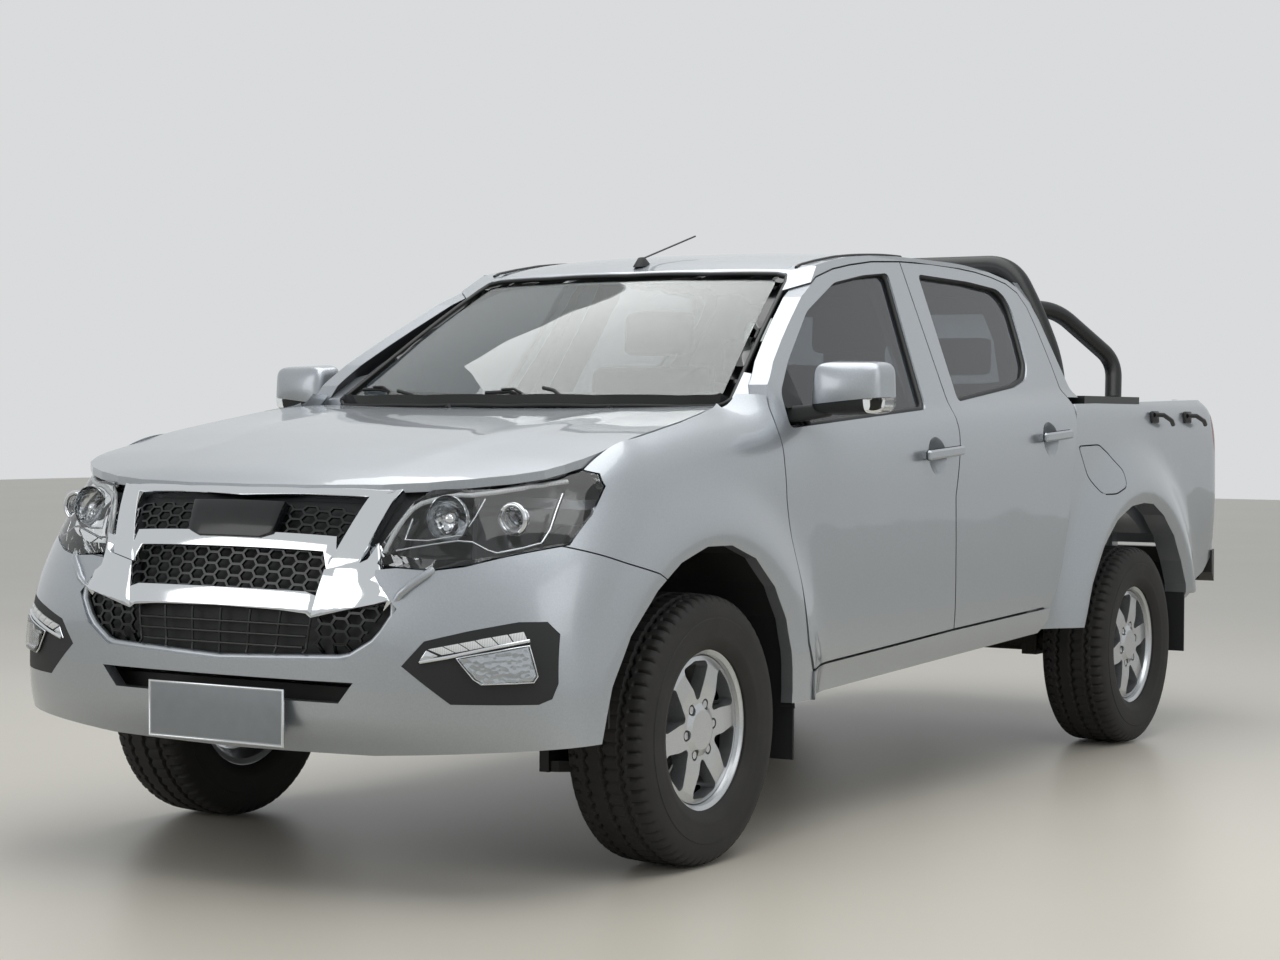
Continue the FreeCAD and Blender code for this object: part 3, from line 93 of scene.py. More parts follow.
def finish_piece(piece, name, finish, body, smooth=35):
    use(piece)
    bpy.ops.object.transform_apply(location=True, rotation=True, scale=True)
    piece.name = name
    piece.data.name = name
    piece.data.materials.clear()
    piece.data.materials.append(finish)
    if smooth:
        bpy.ops.object.shade_smooth_by_angle(angle=math.radians(smooth))
    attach(piece, body)
    return piece


def modify(piece, kind, **settings):
    use(piece)
    step = piece.modifiers.new(kind.title(), kind)
    for key, value in settings.items():
        setattr(step, key, value)
    bpy.ops.object.modifier_apply(modifier=step.name)
    return piece


clear()
print("helpers ready")
# %% [markdown]
# ## Finishes
# Every finish starts from what the real surface is. Hex colours are written as a paint card gives them, and
# one function turns them into the linear values that the shader wants. One function adds a node.

# %% Colour and node helpers
def linear(code):
    parts = [int(code[i:i + 2], 16) / 255 for i in (1, 3, 5)]
    return [p / 12.92 if p <= 0.04045 else ((p + 0.055) / 1.055) ** 2.4 for p in parts] + [1.0]


def add(tree, kind, sockets=None, **settings):
    made = tree.nodes.new(kind)
    for key, value in settings.items():
        setattr(made, key, value)
    for key, value in (sockets or {}).items():
        if isinstance(value, bpy.types.NodeSocket):
            tree.links.new(value, made.inputs[key])
        else:
            made.inputs[key].default_value = value
    return made


def new_finish(name, **sockets):
    finish = bpy.data.materials.new(name)
    finish.use_nodes = True
    shader = finish.node_tree.nodes["Principled BSDF"]
    for key, value in sockets.items():
        shader.inputs[key.replace("_", " ")].default_value = value
    return finish, finish.node_tree, shader


def grain(tree, size_mm, detail=2.0, rough=0.5):
    """A noise whose blobs are about size_mm across, on the piece's own metres."""
    where = add(tree, "ShaderNodeTexCoord")
    return add(tree, "ShaderNodeTexNoise", {"Vector": where.outputs["Object"], "Scale": 1000.0 / size_mm / 2.0,
                                            "Detail": detail, "Roughness": rough})


def spread(tree, value, low, high):
    return add(tree, "ShaderNodeMapRange", {"Value": value, "To Min": low, "To Max": high})


def dress(finish, *names):
    for name in names:
        mesh = nodes[name].data
        mesh.materials.clear()
        mesh.materials.append(finish)
    print(finish.name, "on", ", ".join(names))


# %% [markdown]
# ### Silver body paint
# A metallic basecoat under clear lacquer. The basecoat holds aluminium flakes about 0.05 mm long, too fine
# to show, so they are drawn 2 mm across and kept faint. The flakes scatter light softly, and the lacquer on
# top mirrors the room sharply, so the shader has both: a rough metal and a clear coat.

# %% Silver paint
silver, tree, shader = new_finish("metallic_basecoat_silver", Metallic=0.72, Roughness=0.36, Coat_Weight=0.9,
                                  Coat_Roughness=0.03)
flake = grain(tree, 2.0, 3.0)
tone = add(tree, "ShaderNodeMix", {"Factor": flake.outputs["Fac"], 6: linear("#9DA3A9"), 7: linear("#B3B8BD")},
           data_type="RGBA")
tree.links.new(tone.outputs[2], shader.inputs["Base Color"])
tree.links.new(spread(tree, flake.outputs["Fac"], 0.31, 0.42).outputs["Result"], shader.inputs["Roughness"])
orange_peel = grain(tree, 5.0, 1.0)
ripple = add(tree, "ShaderNodeBump", {"Height": orange_peel.outputs["Fac"], "Strength": 0.04, "Distance": 0.0004})
tree.links.new(ripple.outputs["Normal"], shader.inputs["Coat Normal"])
dress(silver, "hood", "front_wing_left", "front_wing_right", "front_door_left", "front_door_right",
      "rear_door_left", "rear_door_right", "cab_body", "load_bed", "tailgate", "fuel_flap", "front_bumper",
      "mirror_left", "mirror_right")

# %% [markdown]
# ### Black plastics and steels
# Liners, flaps and trims are moulded polypropylene with a fine spark-eroded grain, about 0.3 mm, drawn
# 1.2 mm so that it shows. The chassis is dip-painted steel: satin, a little uneven. The bar over the bed is
# powder coated, which leaves a soft orange peel.

# %% Black finishes
grained, tree, shader = new_finish("moulded_polypropylene_black", Roughness=0.62)
pits = grain(tree, 1.2, 4.0)
tone = add(tree, "ShaderNodeMix", {"Factor": pits.outputs["Fac"], 6: linear("#141516"), 7: linear("#232527")},
           data_type="RGBA")
tree.links.new(tone.outputs[2], shader.inputs["Base Color"])
bump = add(tree, "ShaderNodeBump", {"Height": pits.outputs["Fac"], "Strength": 0.25, "Distance": 0.0006})
tree.links.new(bump.outputs["Normal"], shader.inputs["Normal"])
dress(grained, "front_arch_liners", "mud_flaps")

chassis_black, tree, shader = new_finish("dipped_chassis_paint_black", Roughness=0.45)
dust = grain(tree, 60.0, 5.0)
tone = add(tree, "ShaderNodeMix", {"Factor": dust.outputs["Fac"], 6: linear("#121314"), 7: linear("#33312E")},
           data_type="RGBA")
tree.links.new(tone.outputs[2], shader.inputs["Base Color"])
tree.links.new(spread(tree, dust.outputs["Fac"], 0.35, 0.75).outputs["Result"], shader.inputs["Roughness"])
dress(chassis_black, "chassis_frame", "front_suspension", "fuel_tank", "rear_bumper")

powder, tree, shader = new_finish("powder_coat_satin_black", Roughness=0.38)
peel = grain(tree, 2.5, 2.0)
tone = add(tree, "ShaderNodeMix", {"Factor": peel.outputs["Fac"], 6: linear("#0F1011"), 7: linear("#1B1C1E")},
           data_type="RGBA")
tree.links.new(tone.outputs[2], shader.inputs["Base Color"])
bump = add(tree, "ShaderNodeBump", {"Height": peel.outputs["Fac"], "Strength": 0.12, "Distance": 0.0006})
tree.links.new(bump.outputs["Normal"], shader.inputs["Normal"])
dress(powder, "sports_bar")

# %% [markdown]
# ### Bare and plated metal
# Cast parts under the truck are sand-cast iron and aluminium, matt and grainy. Bright trims are plated
# plastic, which is smooth enough to mirror. The road wheels are lacquered cast alloy.

# %% Metals
cast, tree, shader = new_finish("sand_cast_iron", Metallic=0.8, Roughness=0.6)
grit = grain(tree, 3.0, 5.0)
tone = add(tree, "ShaderNodeMix", {"Factor": grit.outputs["Fac"], 6: linear("#2E2D2C"), 7: linear("#5C5954")},
           data_type="RGBA")
tree.links.new(tone.outputs[2], shader.inputs["Base Color"])
bump = add(tree, "ShaderNodeBump", {"Height": grit.outputs["Fac"], "Strength": 0.3, "Distance": 0.001})
tree.links.new(bump.outputs["Normal"], shader.inputs["Normal"])
dress(cast, "engine_block", "knuckle_left", "knuckle_right", "rear_axle", "propeller_shaft")

chrome, tree, shader = new_finish("bright_chrome_plating", Metallic=1.0, Roughness=0.06)
haze = grain(tree, 30.0, 2.0)
tree.links.new(spread(tree, haze.outputs["Fac"], 0.04, 0.10).outputs["Result"], shader.inputs["Roughness"])
shader.inputs["Base Color"].default_value = linear("#DADDE0")

alloy, tree, shader = new_finish("lacquered_cast_aluminium", Metallic=0.85, Roughness=0.3, Coat_Weight=0.5,
                                 Coat_Roughness=0.08)
grit = grain(tree, 2.0, 3.0)
tone = add(tree, "ShaderNodeMix", {"Factor": grit.outputs["Fac"], 6: linear("#B4B7BA"), 7: linear("#CFD2D4")},
           data_type="RGBA")
tree.links.new(tone.outputs[2], shader.inputs["Base Color"])
tree.links.new(spread(tree, grit.outputs["Fac"], 0.25, 0.36).outputs["Result"], shader.inputs["Roughness"])
dress(alloy, "wheel_front_left", "wheel_front_right", "wheel_rear_left", "wheel_rear_right")

# %% [markdown]
# ### Glass and lamp plastics
# The windscreen is clear laminated glass with a slight green cast, and the side panes carry a dark film.
# Lamp lenses are clear or red acrylic with a hard coat.

# %% Glass
def glass(name, code, amount, rough=0.0):
    finish, tree, shader = new_finish(name, Roughness=rough, IOR=1.5, Transmission_Weight=amount)
    shade = grain(tree, 400.0, 1.0)
    base = linear(code)
    darker = [c * 0.93 for c in base[:3]] + [1.0]
    tone = add(tree, "ShaderNodeMix", {"Factor": shade.outputs["Fac"], 6: darker, 7: base}, data_type="RGBA")
    tree.links.new(tone.outputs[2], shader.inputs["Base Color"])
    return finish


screen_glass = glass("laminated_glass_clear", "#E9F0EC", 1.0)
film_glass = glass("filmed_glass_dark", "#6B7078", 0.92)
lens_clear = glass("acrylic_lens_clear", "#F6F8F9", 1.0)
lens_red = glass("acrylic_lens_red", "#B3121B", 0.6, 0.08)
dress(screen_glass, "cab_glass")
dress(film_glass, "front_glass_left", "front_glass_right", "rear_glass_left", "rear_glass_right")
dress(lens_clear, "headlight_left", "headlight_right", "fog_lamps")
dress(lens_red, "tail_lights")

# %% [markdown]
# ### Rubber, cloth and cabin plastic
# Tyre rubber is matt black with a brown bloom. The seats are woven cloth, and the dashboard is soft
# grained plastic.

# %% Soft finishes
rubber, tree, shader = new_finish("vulcanised_rubber", Roughness=0.72)
bloom = grain(tree, 45.0, 5.0)
tone = add(tree, "ShaderNodeMix", {"Factor": bloom.outputs["Fac"], 6: linear("#131313"), 7: linear("#2B2927")},
           data_type="RGBA")
tree.links.new(tone.outputs[2], shader.inputs["Base Color"])
fine = grain(tree, 1.0, 4.0)
bump = add(tree, "ShaderNodeBump", {"Height": fine.outputs["Fac"], "Strength": 0.2, "Distance": 0.0005})
tree.links.new(bump.outputs["Normal"], shader.inputs["Normal"])
dress(rubber, "tyre_front_left", "tyre_front_right", "tyre_rear_left", "tyre_rear_right")

soft_black, tree, shader = new_finish("soft_grained_vinyl_black", Roughness=0.55)
leather = add(tree, "ShaderNodeTexVoronoi", {"Vector": add(tree, "ShaderNodeTexCoord").outputs["Object"],
                                             "Scale": 500.0})
tone = add(tree, "ShaderNodeMix", {"Factor": leather.outputs["Distance"], 6: linear("#1A1B1D"),
                                   7: linear("#2A2C2F")}, data_type="RGBA")
tree.links.new(tone.outputs[2], shader.inputs["Base Color"])
bump = add(tree, "ShaderNodeBump", {"Height": leather.outputs["Distance"], "Strength": 0.3, "Distance": 0.0006})
tree.links.new(bump.outputs["Normal"], shader.inputs["Normal"])
dress(soft_black, "dashboard", "steering_wheel")

cloth, tree, shader = new_finish("woven_polyester_seat_cloth", Roughness=0.9, Sheen_Weight=0.4)
where = add(tree, "ShaderNodeTexCoord")
warp = add(tree, "ShaderNodeTexWave", {"Vector": where.outputs["Object"], "Scale": 160.0}, bands_direction="X")
weft = add(tree, "ShaderNodeTexWave", {"Vector": where.outputs["Object"], "Scale": 160.0}, bands_direction="Z")
weave = add(tree, "ShaderNodeMath", {0: warp.outputs["Fac"], 1: weft.outputs["Fac"]}, operation="MULTIPLY")
tone = add(tree, "ShaderNodeMix", {"Factor": weave.outputs["Value"], 6: linear("#17181A"), 7: linear("#34373B")},
           data_type="RGBA")
tree.links.new(tone.outputs[2], shader.inputs["Base Color"])
bump = add(tree, "ShaderNodeBump", {"Height": weave.outputs["Value"], "Strength": 0.4, "Distance": 0.0008})
tree.links.new(bump.outputs["Normal"], shader.inputs["Normal"])
dress(cloth, "front_seats", "rear_bench")
dress(grained, "grille")
# %% [markdown]
# ## Shaping helpers
# Trim on a car follows the panel under it. A flat shape is started as a circle with as many corners as the
# outline, sliced into strips so that it can bend, wrapped onto the panel, and given thickness. Narrow seals
# and bright lines are swept curves whose points are first snapped onto the panel.

# %% Outline, slice, wrap
skins = {}


def real(points):
    """Millimetres from the front axle to metres in the frame."""
    return [Vector((x / 1000, y / 1000 + FRONT, z / 1000)) for x, y, z in points]


def flat_shape(name, places, out=(0, -1, 0)):
    clear()
    bpy.ops.mesh.primitive_circle_add(vertices=len(places), radius=1.0, fill_type="NGON")
    piece = bpy.context.object
    piece.name = name
    for corner, place in zip(piece.data.vertices, places):
        corner.co = place
    piece.data.update()
    if piece.data.polygons[0].normal.dot(Vector(out)) < 0:
        bpy.ops.object.mode_set(mode="EDIT")
        bpy.ops.mesh.select_all(action="SELECT")
        bpy.ops.mesh.flip_normals()
        bpy.ops.object.mode_set(mode="OBJECT")
    return piece


def slice_up(piece, step, axes=(0, 2)):
    use(piece)
    spots = [v.co.copy() for v in piece.data.vertices]
    bpy.ops.object.mode_set(mode="EDIT")
    for axis in axes:
        low = min(s[axis] for s in spots)
        high = max(s[axis] for s in spots)
        count = int((high - low) / step)
        for k in range(1, count + 1):
            co = [0.0, 0.0, 0.0]
            no = [0.0, 0.0, 0.0]
            co[axis] = low + k * (high - low) / (count + 1)
            no[axis] = 1.0
            bpy.ops.mesh.select_all(action="SELECT")
            bpy.ops.mesh.bisect(plane_co=co, plane_no=no)
    bpy.ops.object.mode_set(mode="OBJECT")
    return piece


def trim_to(piece, places):
    """Cuts away what lies outside a convex outline given as (x, z)."""
    use(piece)
    bpy.ops.object.mode_set(mode="EDIT")
    cx = sum(p[0] for p in places) / len(places)
    cz = sum(p[1] for p in places) / len(places)
    for a, b in zip(places, places[1:] + places[:1]):
        no = Vector((b[1] - a[1], 0, a[0] - b[0]))
        if no.dot(Vector((cx - a[0], 0, cz - a[1]))) > 0:
            no = -no
        bpy.ops.mesh.select_all(action="SELECT")
        bpy.ops.mesh.bisect(plane_co=(a[0], 0, a[1]), plane_no=no, clear_outer=True)
    bpy.ops.object.mode_set(mode="OBJECT")
    return piece


def wrap(piece, target, lift=0.0):
    return modify(piece, "SHRINKWRAP", target=target, wrap_method="NEAREST_SURFACEPOINT", offset=lift,
                  wrap_mode="ABOVE_SURFACE")


def shift(piece, move):
    use(piece)
    piece.data.transform(Matrix.Translation(move))
    return piece


def thicken(piece, thick, edge=0.0, offset=-1.0, steps=2):
    """Gives the skin a back, thick metres behind it, and rounds its edges."""
    modify(piece, "SOLIDIFY", thickness=thick, offset=offset, use_even_offset=False)
    if edge:
        modify(piece, "BEVEL", width=edge, segments=steps, limit_method="ANGLE", angle_limit=math.radians(50))
    return piece


def mirrored(piece, name, finish, body, smooth=35):
    twin = piece.copy()
    twin.data = piece.data.copy()
    scene.collection.objects.link(twin)
    twin.parent = None
    twin.matrix_world = Matrix.Identity(4)
    use(twin)
    twin.data.transform(Matrix.Scale(-1, 4, (1, 0, 0)))
    twin.data.flip_normals()
    return finish_piece(twin, name, finish, body, smooth)


def skin_of(target):
    """The target's faces as a search tree."""
    if target.name not in skins:
        mesh = target.data
        skins[target.name] = BVHTree.FromPolygons([v.co for v in mesh.vertices], [p.vertices for p in mesh.polygons])
    return skins[target.name]


def snapped(places, target, lift, step=0.02, closed=False):
    """Adds points along the line and sets each one on the panel, lift metres above it."""
    line = list(places) + ([places[0]] if closed else [])
    out = []
    for a, b in zip(line[:-1], line[1:]):
        count = max(1, int((b - a).length / step))
        out += [a.lerp(b, k / count) for k in range(count)]
    if not closed:
        out.append(line[-1])
    skin = skin_of(target)
    result = []
    for place in out:
        spot, normal, _, _ = skin.find_nearest(place)
        result.append(spot + normal * lift)
    return result


def swept(name, places, radius, finish, body, closed=False, flat=1.0, sides=3):
    """A round strip along the places. The flat setting is not used."""
    curve = bpy.data.curves.new(name, "CURVE")
    curve.dimensions = "3D"
    line = curve.splines.new("POLY")
    line.points.add(len(places) - 1)
    for point, place in zip(line.points, places):
        point.co = (*place, 1.0)
    line.use_cyclic_u = closed
    curve.bevel_depth = radius
    curve.bevel_resolution = sides
    curve.use_fill_caps = True
    piece = bpy.data.objects.new(name, curve)
    scene.collection.objects.link(piece)
    use(piece)
    bpy.ops.object.convert(target="MESH")
    piece = bpy.context.object
    return finish_piece(piece, name, finish, body, 60)


print("shaping helpers ready")
# %% [markdown]
# ## Front finishes
# The grille surround is plated, the lamp bodies are gloss black moulding, and the light strips are milky
# diffusers. A lamp's reflector is lacquered plastic with a film of aluminium.

# %% Lamp and trim finishes
gloss_black, tree, shader = new_finish("gloss_moulded_black", Roughness=0.16)
haze = grain(tree, 20.0, 2.0)
tone = add(tree, "ShaderNodeMix", {"Factor": haze.outputs["Fac"], 6: linear("#0B0C0D"), 7: linear("#17191B")},
           data_type="RGBA")
tree.links.new(tone.outputs[2], shader.inputs["Base Color"])

diffuser, tree, shader = new_finish("milky_diffuser", Roughness=0.25, Coat_Weight=0.5)
rib = add(tree, "ShaderNodeTexWave", {"Vector": add(tree, "ShaderNodeTexCoord").outputs["Object"], "Scale": 60.0},
          bands_direction="X")
tone = add(tree, "ShaderNodeMix", {"Factor": rib.outputs["Fac"], 6: linear("#DDE0E2"), 7: linear("#F2F4F5")},
           data_type="RGBA")
tree.links.new(tone.outputs[2], shader.inputs["Base Color"])

reflector, tree, shader = new_finish("aluminised_reflector", Metallic=1.0, Roughness=0.12)
shader.inputs["Base Color"].default_value = linear("#C9CCCF")
flute = add(tree, "ShaderNodeTexVoronoi", {"Vector": add(tree, "ShaderNodeTexCoord").outputs["Object"],
                                           "Scale": 70.0})
bump = add(tree, "ShaderNodeBump", {"Height": flute.outputs["Distance"], "Strength": 0.35, "Distance": 0.004})
tree.links.new(bump.outputs["Normal"], shader.inputs["Normal"])

plate_grey, tree, shader = new_finish("blank_plate_enamel_grey", Roughness=0.35)
haze = grain(tree, 15.0, 2.0)
tone = add(tree, "ShaderNodeMix", {"Factor": haze.outputs["Fac"], 6: linear("#84898D"), 7: linear("#8E9397")},
           data_type="RGBA")
tree.links.new(tone.outputs[2], shader.inputs["Base Color"])
print("front finishes ready")

# %% [markdown]
# ## Grille
# A plated frame holds three dark openings: two with flattened honeycomb, and a wide lower one with plain bars
# in the middle and honeycomb at its ends. The moulded back plate sits 30 mm behind the frame, so the
# openings are truly deep. The plate is the frame's own grille, copied and moved back.

# %% Back plate
back = nodes["grille"].copy()
back.data = nodes["grille"].data.copy()
scene.collection.objects.link(back)
back.parent = None
back.matrix_world = Matrix.Identity(4)
shift(back, (0, 0.034, 0))
finish_piece(back, "grille_back", grained, "truck")
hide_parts("grille")
grille_skin = nodes["grille"]
print("back plate", len(back.data.polygons), "faces")

# %% Plated bars
def plated(name, points, both=True, lift=0.006, deep=0.034, edge=0.004, finish=None, target=None, body="truck",
           step=0.03):
    piece = flat_shape(name, real(points))
    slice_up(piece, step)
    wrap(piece, target or grille_skin)
    shift(piece, (0, -lift, 0))
    thicken(piece, deep, edge)
    piece = finish_piece(piece, name, finish or chrome, body)
    if both:
        mirrored(piece, name + "_right", finish or chrome, body)
    return piece


top_bar = [(-470, -700, 1003), (470, -700, 1003), (376, -787, 984), (0, -825, 984), (-376, -787, 984)]
plated("grille_top_bar", [(-455, -760, 1004), (0, -800, 1004), (455, -760, 1004), (390, -785, 984),
                          (0, -825, 986), (-390, -785, 984)], both=False)
plated("grille_arm_left", [(384, -780, 990), (458, -740, 1003), (446, -778, 971), (405, -856, 823), (317, -875, 806)])
plated("grille_mid_bar", [(-330, -868, 896), (330, -868, 896), (338, -870, 850), (328, -872, 838), (318, -875, 806),
                          (300, -870, 852), (-300, -870, 852), (-318, -875, 806), (-328, -872, 838),
                          (-338, -870, 850)], both=False)
plated("grille_low_bar", [(-306, -893, 742), (-275, -896, 752), (275, -896, 752), (306, -893, 742), (297, -905, 688),
                          (282, -907, 698), (200, -910, 704), (0, -915, 708), (-200, -910, 704), (-282, -907, 698),
                          (-297, -905, 688)], both=False, lift=0.012)
plated("grille_wing_left", [(297, -905, 688), (378, -892, 707), (470, -872, 727), (512, -850, 738), (582, -812, 808),
                            (560, -812, 826), (518, -824, 838), (397, -858, 822), (317, -875, 806), (306, -893, 742)],
       lift=0.012)
print("bars done")

# %% Blank badge plate
plated("badge_plate", [(-150, -822, 969), (150, -822, 969), (138, -858, 892), (100, -864, 879), (-100, -864, 879),
                       (-138, -858, 892)], both=False, lift=0.013, deep=0.03, finish=gloss_black)

# %% [markdown]
# ### Honeycomb
# One hexagon is inset and its middle taken out, which leaves a ring. Two array steps repeat it, a second set
# fills the half steps between, and the sheet is trimmed to each opening, wrapped on the grille, and
# thickened.

# %% Honeycomb sheets
CELL_W = 0.052
CELL_H = 0.030


def honeycomb(name, outline, sink=0.014):
    low_x = min(p[0] for p in outline)
    high_x = max(p[0] for p in outline)
    low_z = min(p[1] for p in outline)
    high_z = max(p[1] for p in outline)
    clear()
    bpy.ops.mesh.primitive_circle_add(vertices=6, radius=1.0, fill_type="NGON", rotation=(math.radians(90), 0, 0))
    cell = bpy.context.object
    bpy.ops.object.transform_apply(location=False, rotation=True)
    corners = [(-0.5, 0), (-0.28, 0.5), (0.28, 0.5), (0.5, 0), (0.28, -0.5), (-0.28, -0.5)]
    for corner, (x, z) in zip(cell.data.vertices, corners):
        corner.co = (low_x + x * CELL_W, -2.52, low_z + z * CELL_H)
    bpy.ops.object.mode_set(mode="EDIT")
    bpy.ops.mesh.select_all(action="SELECT")
    bpy.ops.mesh.inset(thickness=0.0032)
    bpy.ops.mesh.delete(type="FACE")
    bpy.ops.object.mode_set(mode="OBJECT")
    across = int((high_x - low_x) / (CELL_W * 1.56)) + 2
    up = int((high_z - low_z) / CELL_H) + 2
    modify(cell, "ARRAY", use_relative_offset=False, use_constant_offset=True,
           constant_offset_displace=(CELL_W * 0.78, 0, CELL_H * 0.5), count=2)
    modify(cell, "ARRAY", use_relative_offset=False, use_constant_offset=True,
           constant_offset_displace=(CELL_W * 1.56, 0, 0), count=across)
    modify(cell, "ARRAY", use_relative_offset=False, use_constant_offset=True,
           constant_offset_displace=(0, 0, CELL_H), count=up)
    trim_to(cell, outline)
    wrap(cell, grille_skin)
    shift(cell, (0, sink, 0))
    modify(cell, "SOLIDIFY", thickness=0.008, offset=0.0)
    return finish_piece(cell, name, gloss_black, "truck", 30)


def metres(points):
    return [(x / 1000, z / 1000) for x, z in points]


honeycomb("mesh_upper", metres([(-384, 984), (384, 984), (330, 894), (-330, 894)]))
honeycomb("mesh_middle", metres([(-336, 850), (336, 850), (300, 745), (-300, 745)]))
side_mesh = honeycomb("mesh_lower_left", metres([(300, 688), (505, 740), (395, 590), (284, 580)]))
mirrored(side_mesh, "mesh_lower_right", gloss_black, "truck")
print("honeycomb done")

# %% Plain bars of the lower opening
for k, z in enumerate((612, 640, 668)):
    span = 262 + (z - 612) * 0.35
    line = [Vector((x / 1000, FRONT - 0.915, z / 1000)) for x in range(-300, 301, 60)]
    line = snapped([Vector((p.x * span / 300, p.y, p.z)) for p in line], grille_skin, -0.012)
    swept("lower_bar_" + str(k), line, 0.0035, gloss_black, "truck")
for k, x in enumerate((-285, -190, -95, 0, 95, 190, 285)):
    line = [Vector((x * 0.94 / 1000, FRONT - 0.91, 0.585)), Vector((x / 1000, FRONT - 0.91, 0.700))]
    swept("lower_post_" + str(k), snapped(line, grille_skin, -0.012), 0.0035, gloss_black, "truck")
print("lower opening done")

# %% [markdown]
# ## Bumper trim
# A body-coloured lip runs round the lower opening like a U. It is swept along the opening's edge, because
# its section stays the same. The blank plate has a slim bright frame.

# %% Lip round the opening
edge = [(590, -806, 806), (545, -840, 770), (505, -850, 728), (446, -868, 652), (400, -880, 594), (372, -886, 578),
        (300, -893, 571), (150, -900, 567), (0, -902, 566)]
edge = edge + [(-x, y, z) for x, y, z in edge[-2::-1]]
bumper = nodes["front_bumper"]
swept("bumper_lip", snapped(real(edge), bumper, 0.002), 0.011, silver, "truck", sides=5)

# %% Plate
plate_box = [(-214, -918, 502), (214, -918, 502), (214, -918, 372), (-214, -918, 372)]
face = flat_shape("plate_face", real(plate_box))
shift(face, (0, -0.0085, 0))
thicken(face, 0.004, 0.001)
finish_piece(face, "plate_face", plate_grey, "truck")
rim = [(-219, -924, 506), (219, -924, 506), (219, -924, 367), (-219, -924, 367)]
swept("plate_rim", real(rim), 0.0045, chrome, "truck", closed=True)
print("bumper trim done")
# %% [markdown]
# ## Headlamps
# A headlamp is a clear acrylic cover over a black housing. In it sit a bright reflector bowl, a projector
# lens in a plated ring, a milky light strip along the top and inner edges, and a plated strip at the outer
# end. The cover is the frame's own solid, so the housing is a copy of it drawn in by 12 mm, with two round
# pockets cut by booleans.

# %% Housing
def rounded_pocket(place, radius, depth):
    clear()
    bpy.ops.mesh.primitive_cylinder_add(vertices=64, radius=radius, depth=depth, location=place,
                                        rotation=(math.radians(90), 0, 0))
    bpy.ops.object.transform_apply(location=True, rotation=True)
    return bpy.context.object


lamp_skin = nodes["headlight_left"]
housing = lamp_skin.copy()
housing.data = lamp_skin.data.copy()
scene.collection.objects.link(housing)
housing.parent = None
housing.matrix_world = Matrix.Identity(4)
use(housing)
bpy.ops.object.mode_set(mode="EDIT")
bpy.ops.mesh.select_all(action="SELECT")
bpy.ops.mesh.remove_doubles(threshold=0.0001)
bpy.ops.transform.shrink_fatten(value=-0.012)
bpy.ops.object.mode_set(mode="OBJECT")
bowl_place = Vector((0.592, FRONT - 0.742, 0.932))
eye_place = Vector((0.728, FRONT - 0.662, 0.932))
for place, radius in ((bowl_place, 0.060), (eye_place, 0.047)):
    pocket = rounded_pocket(place, radius, 0.16)
    modify(housing, "BOOLEAN", object=pocket, operation="DIFFERENCE", solver="EXACT")
    bpy.data.objects.remove(pocket)
finish_piece(housing, "lamp_housing_left", gloss_black, "truck")
mirrored(housing, "lamp_housing_right", gloss_black, "truck")
print("housing", len(housing.data.polygons), "faces")

# %% [markdown]
# The bowl is half a ball turned open side forward, stretched into a dish. The projector is a thick glass
# lens, a squashed ball, in a ring that is a thin doughnut.

# %% Bowl and projector
def lamp_part(name, finish):
    part = bpy.context.object
    bpy.ops.object.transform_apply(location=True, rotation=True, scale=True)
    finish_piece(part, name + "_left", finish, "truck", 50)
    mirrored(part, name + "_right", finish, "truck", 50)
    return part


def dish(name, place, radius, depth, finish):
    clear()
    bpy.ops.mesh.primitive_uv_sphere_add(segments=48, ring_count=24, radius=1.0, location=(0, 0, 0))
    part = bpy.context.object
    bpy.ops.object.mode_set(mode="EDIT")
    bpy.ops.mesh.select_all(action="SELECT")
    bpy.ops.mesh.bisect(plane_co=(0, 0, 0), plane_no=(0, -1, 0), clear_outer=True)
    bpy.ops.mesh.select_all(action="SELECT")
    bpy.ops.mesh.flip_normals()
    bpy.ops.object.mode_set(mode="OBJECT")
    part.data.transform(Matrix.Translation(place) @ Matrix.Diagonal((radius, depth, radius, 1.0)))
    modify(part, "SOLIDIFY", thickness=0.0015, offset=-1.0)
    use(part)
    return lamp_part(name, finish)


dish("lamp_bowl", bowl_place + Vector((0, -0.012, 0)), 0.058, 0.045, reflector)
clear()
bpy.ops.mesh.primitive_torus_add(major_radius=0.0365, minor_radius=0.0065, major_segments=56, minor_segments=14,
                                 location=eye_place + Vector((0, -0.008, 0)), rotation=(math.radians(90), 0, 0))
lamp_part("lamp_eye_ring", chrome)
clear()
bpy.ops.mesh.primitive_uv_sphere_add(segments=48, ring_count=24, radius=0.033, scale=(1.0, 0.45, 1.0),
                                     location=eye_place + Vector((0, 0.002, 0)))
lamp_part("lamp_eye", lens_clear)
clear()
bpy.ops.mesh.primitive_uv_sphere_add(segments=32, ring_count=16, radius=0.030, scale=(1.0, 0.3, 1.0),
                                     location=eye_place + Vector((0, 0.022, 0)))
lamp_part("lamp_eye_shutter", reflector)
clear()
bpy.ops.mesh.primitive_uv_sphere_add(segments=32, ring_count=16, radius=0.017, scale=(1.0, 1.2, 1.0),
                                     location=bowl_place + Vector((0, 0.006, 0)))
lamp_part("lamp_bulb_cap", chrome)

# %% Strips in the lamp
def lamp_strip(name, points, radius, finish, sink=-0.011):
    line = snapped(real(points), lamp_skin, sink, 0.015)
    strip = swept(name + "_left", line, radius, finish, "truck")
    mirrored(strip, name + "_right", finish, "truck", 60)


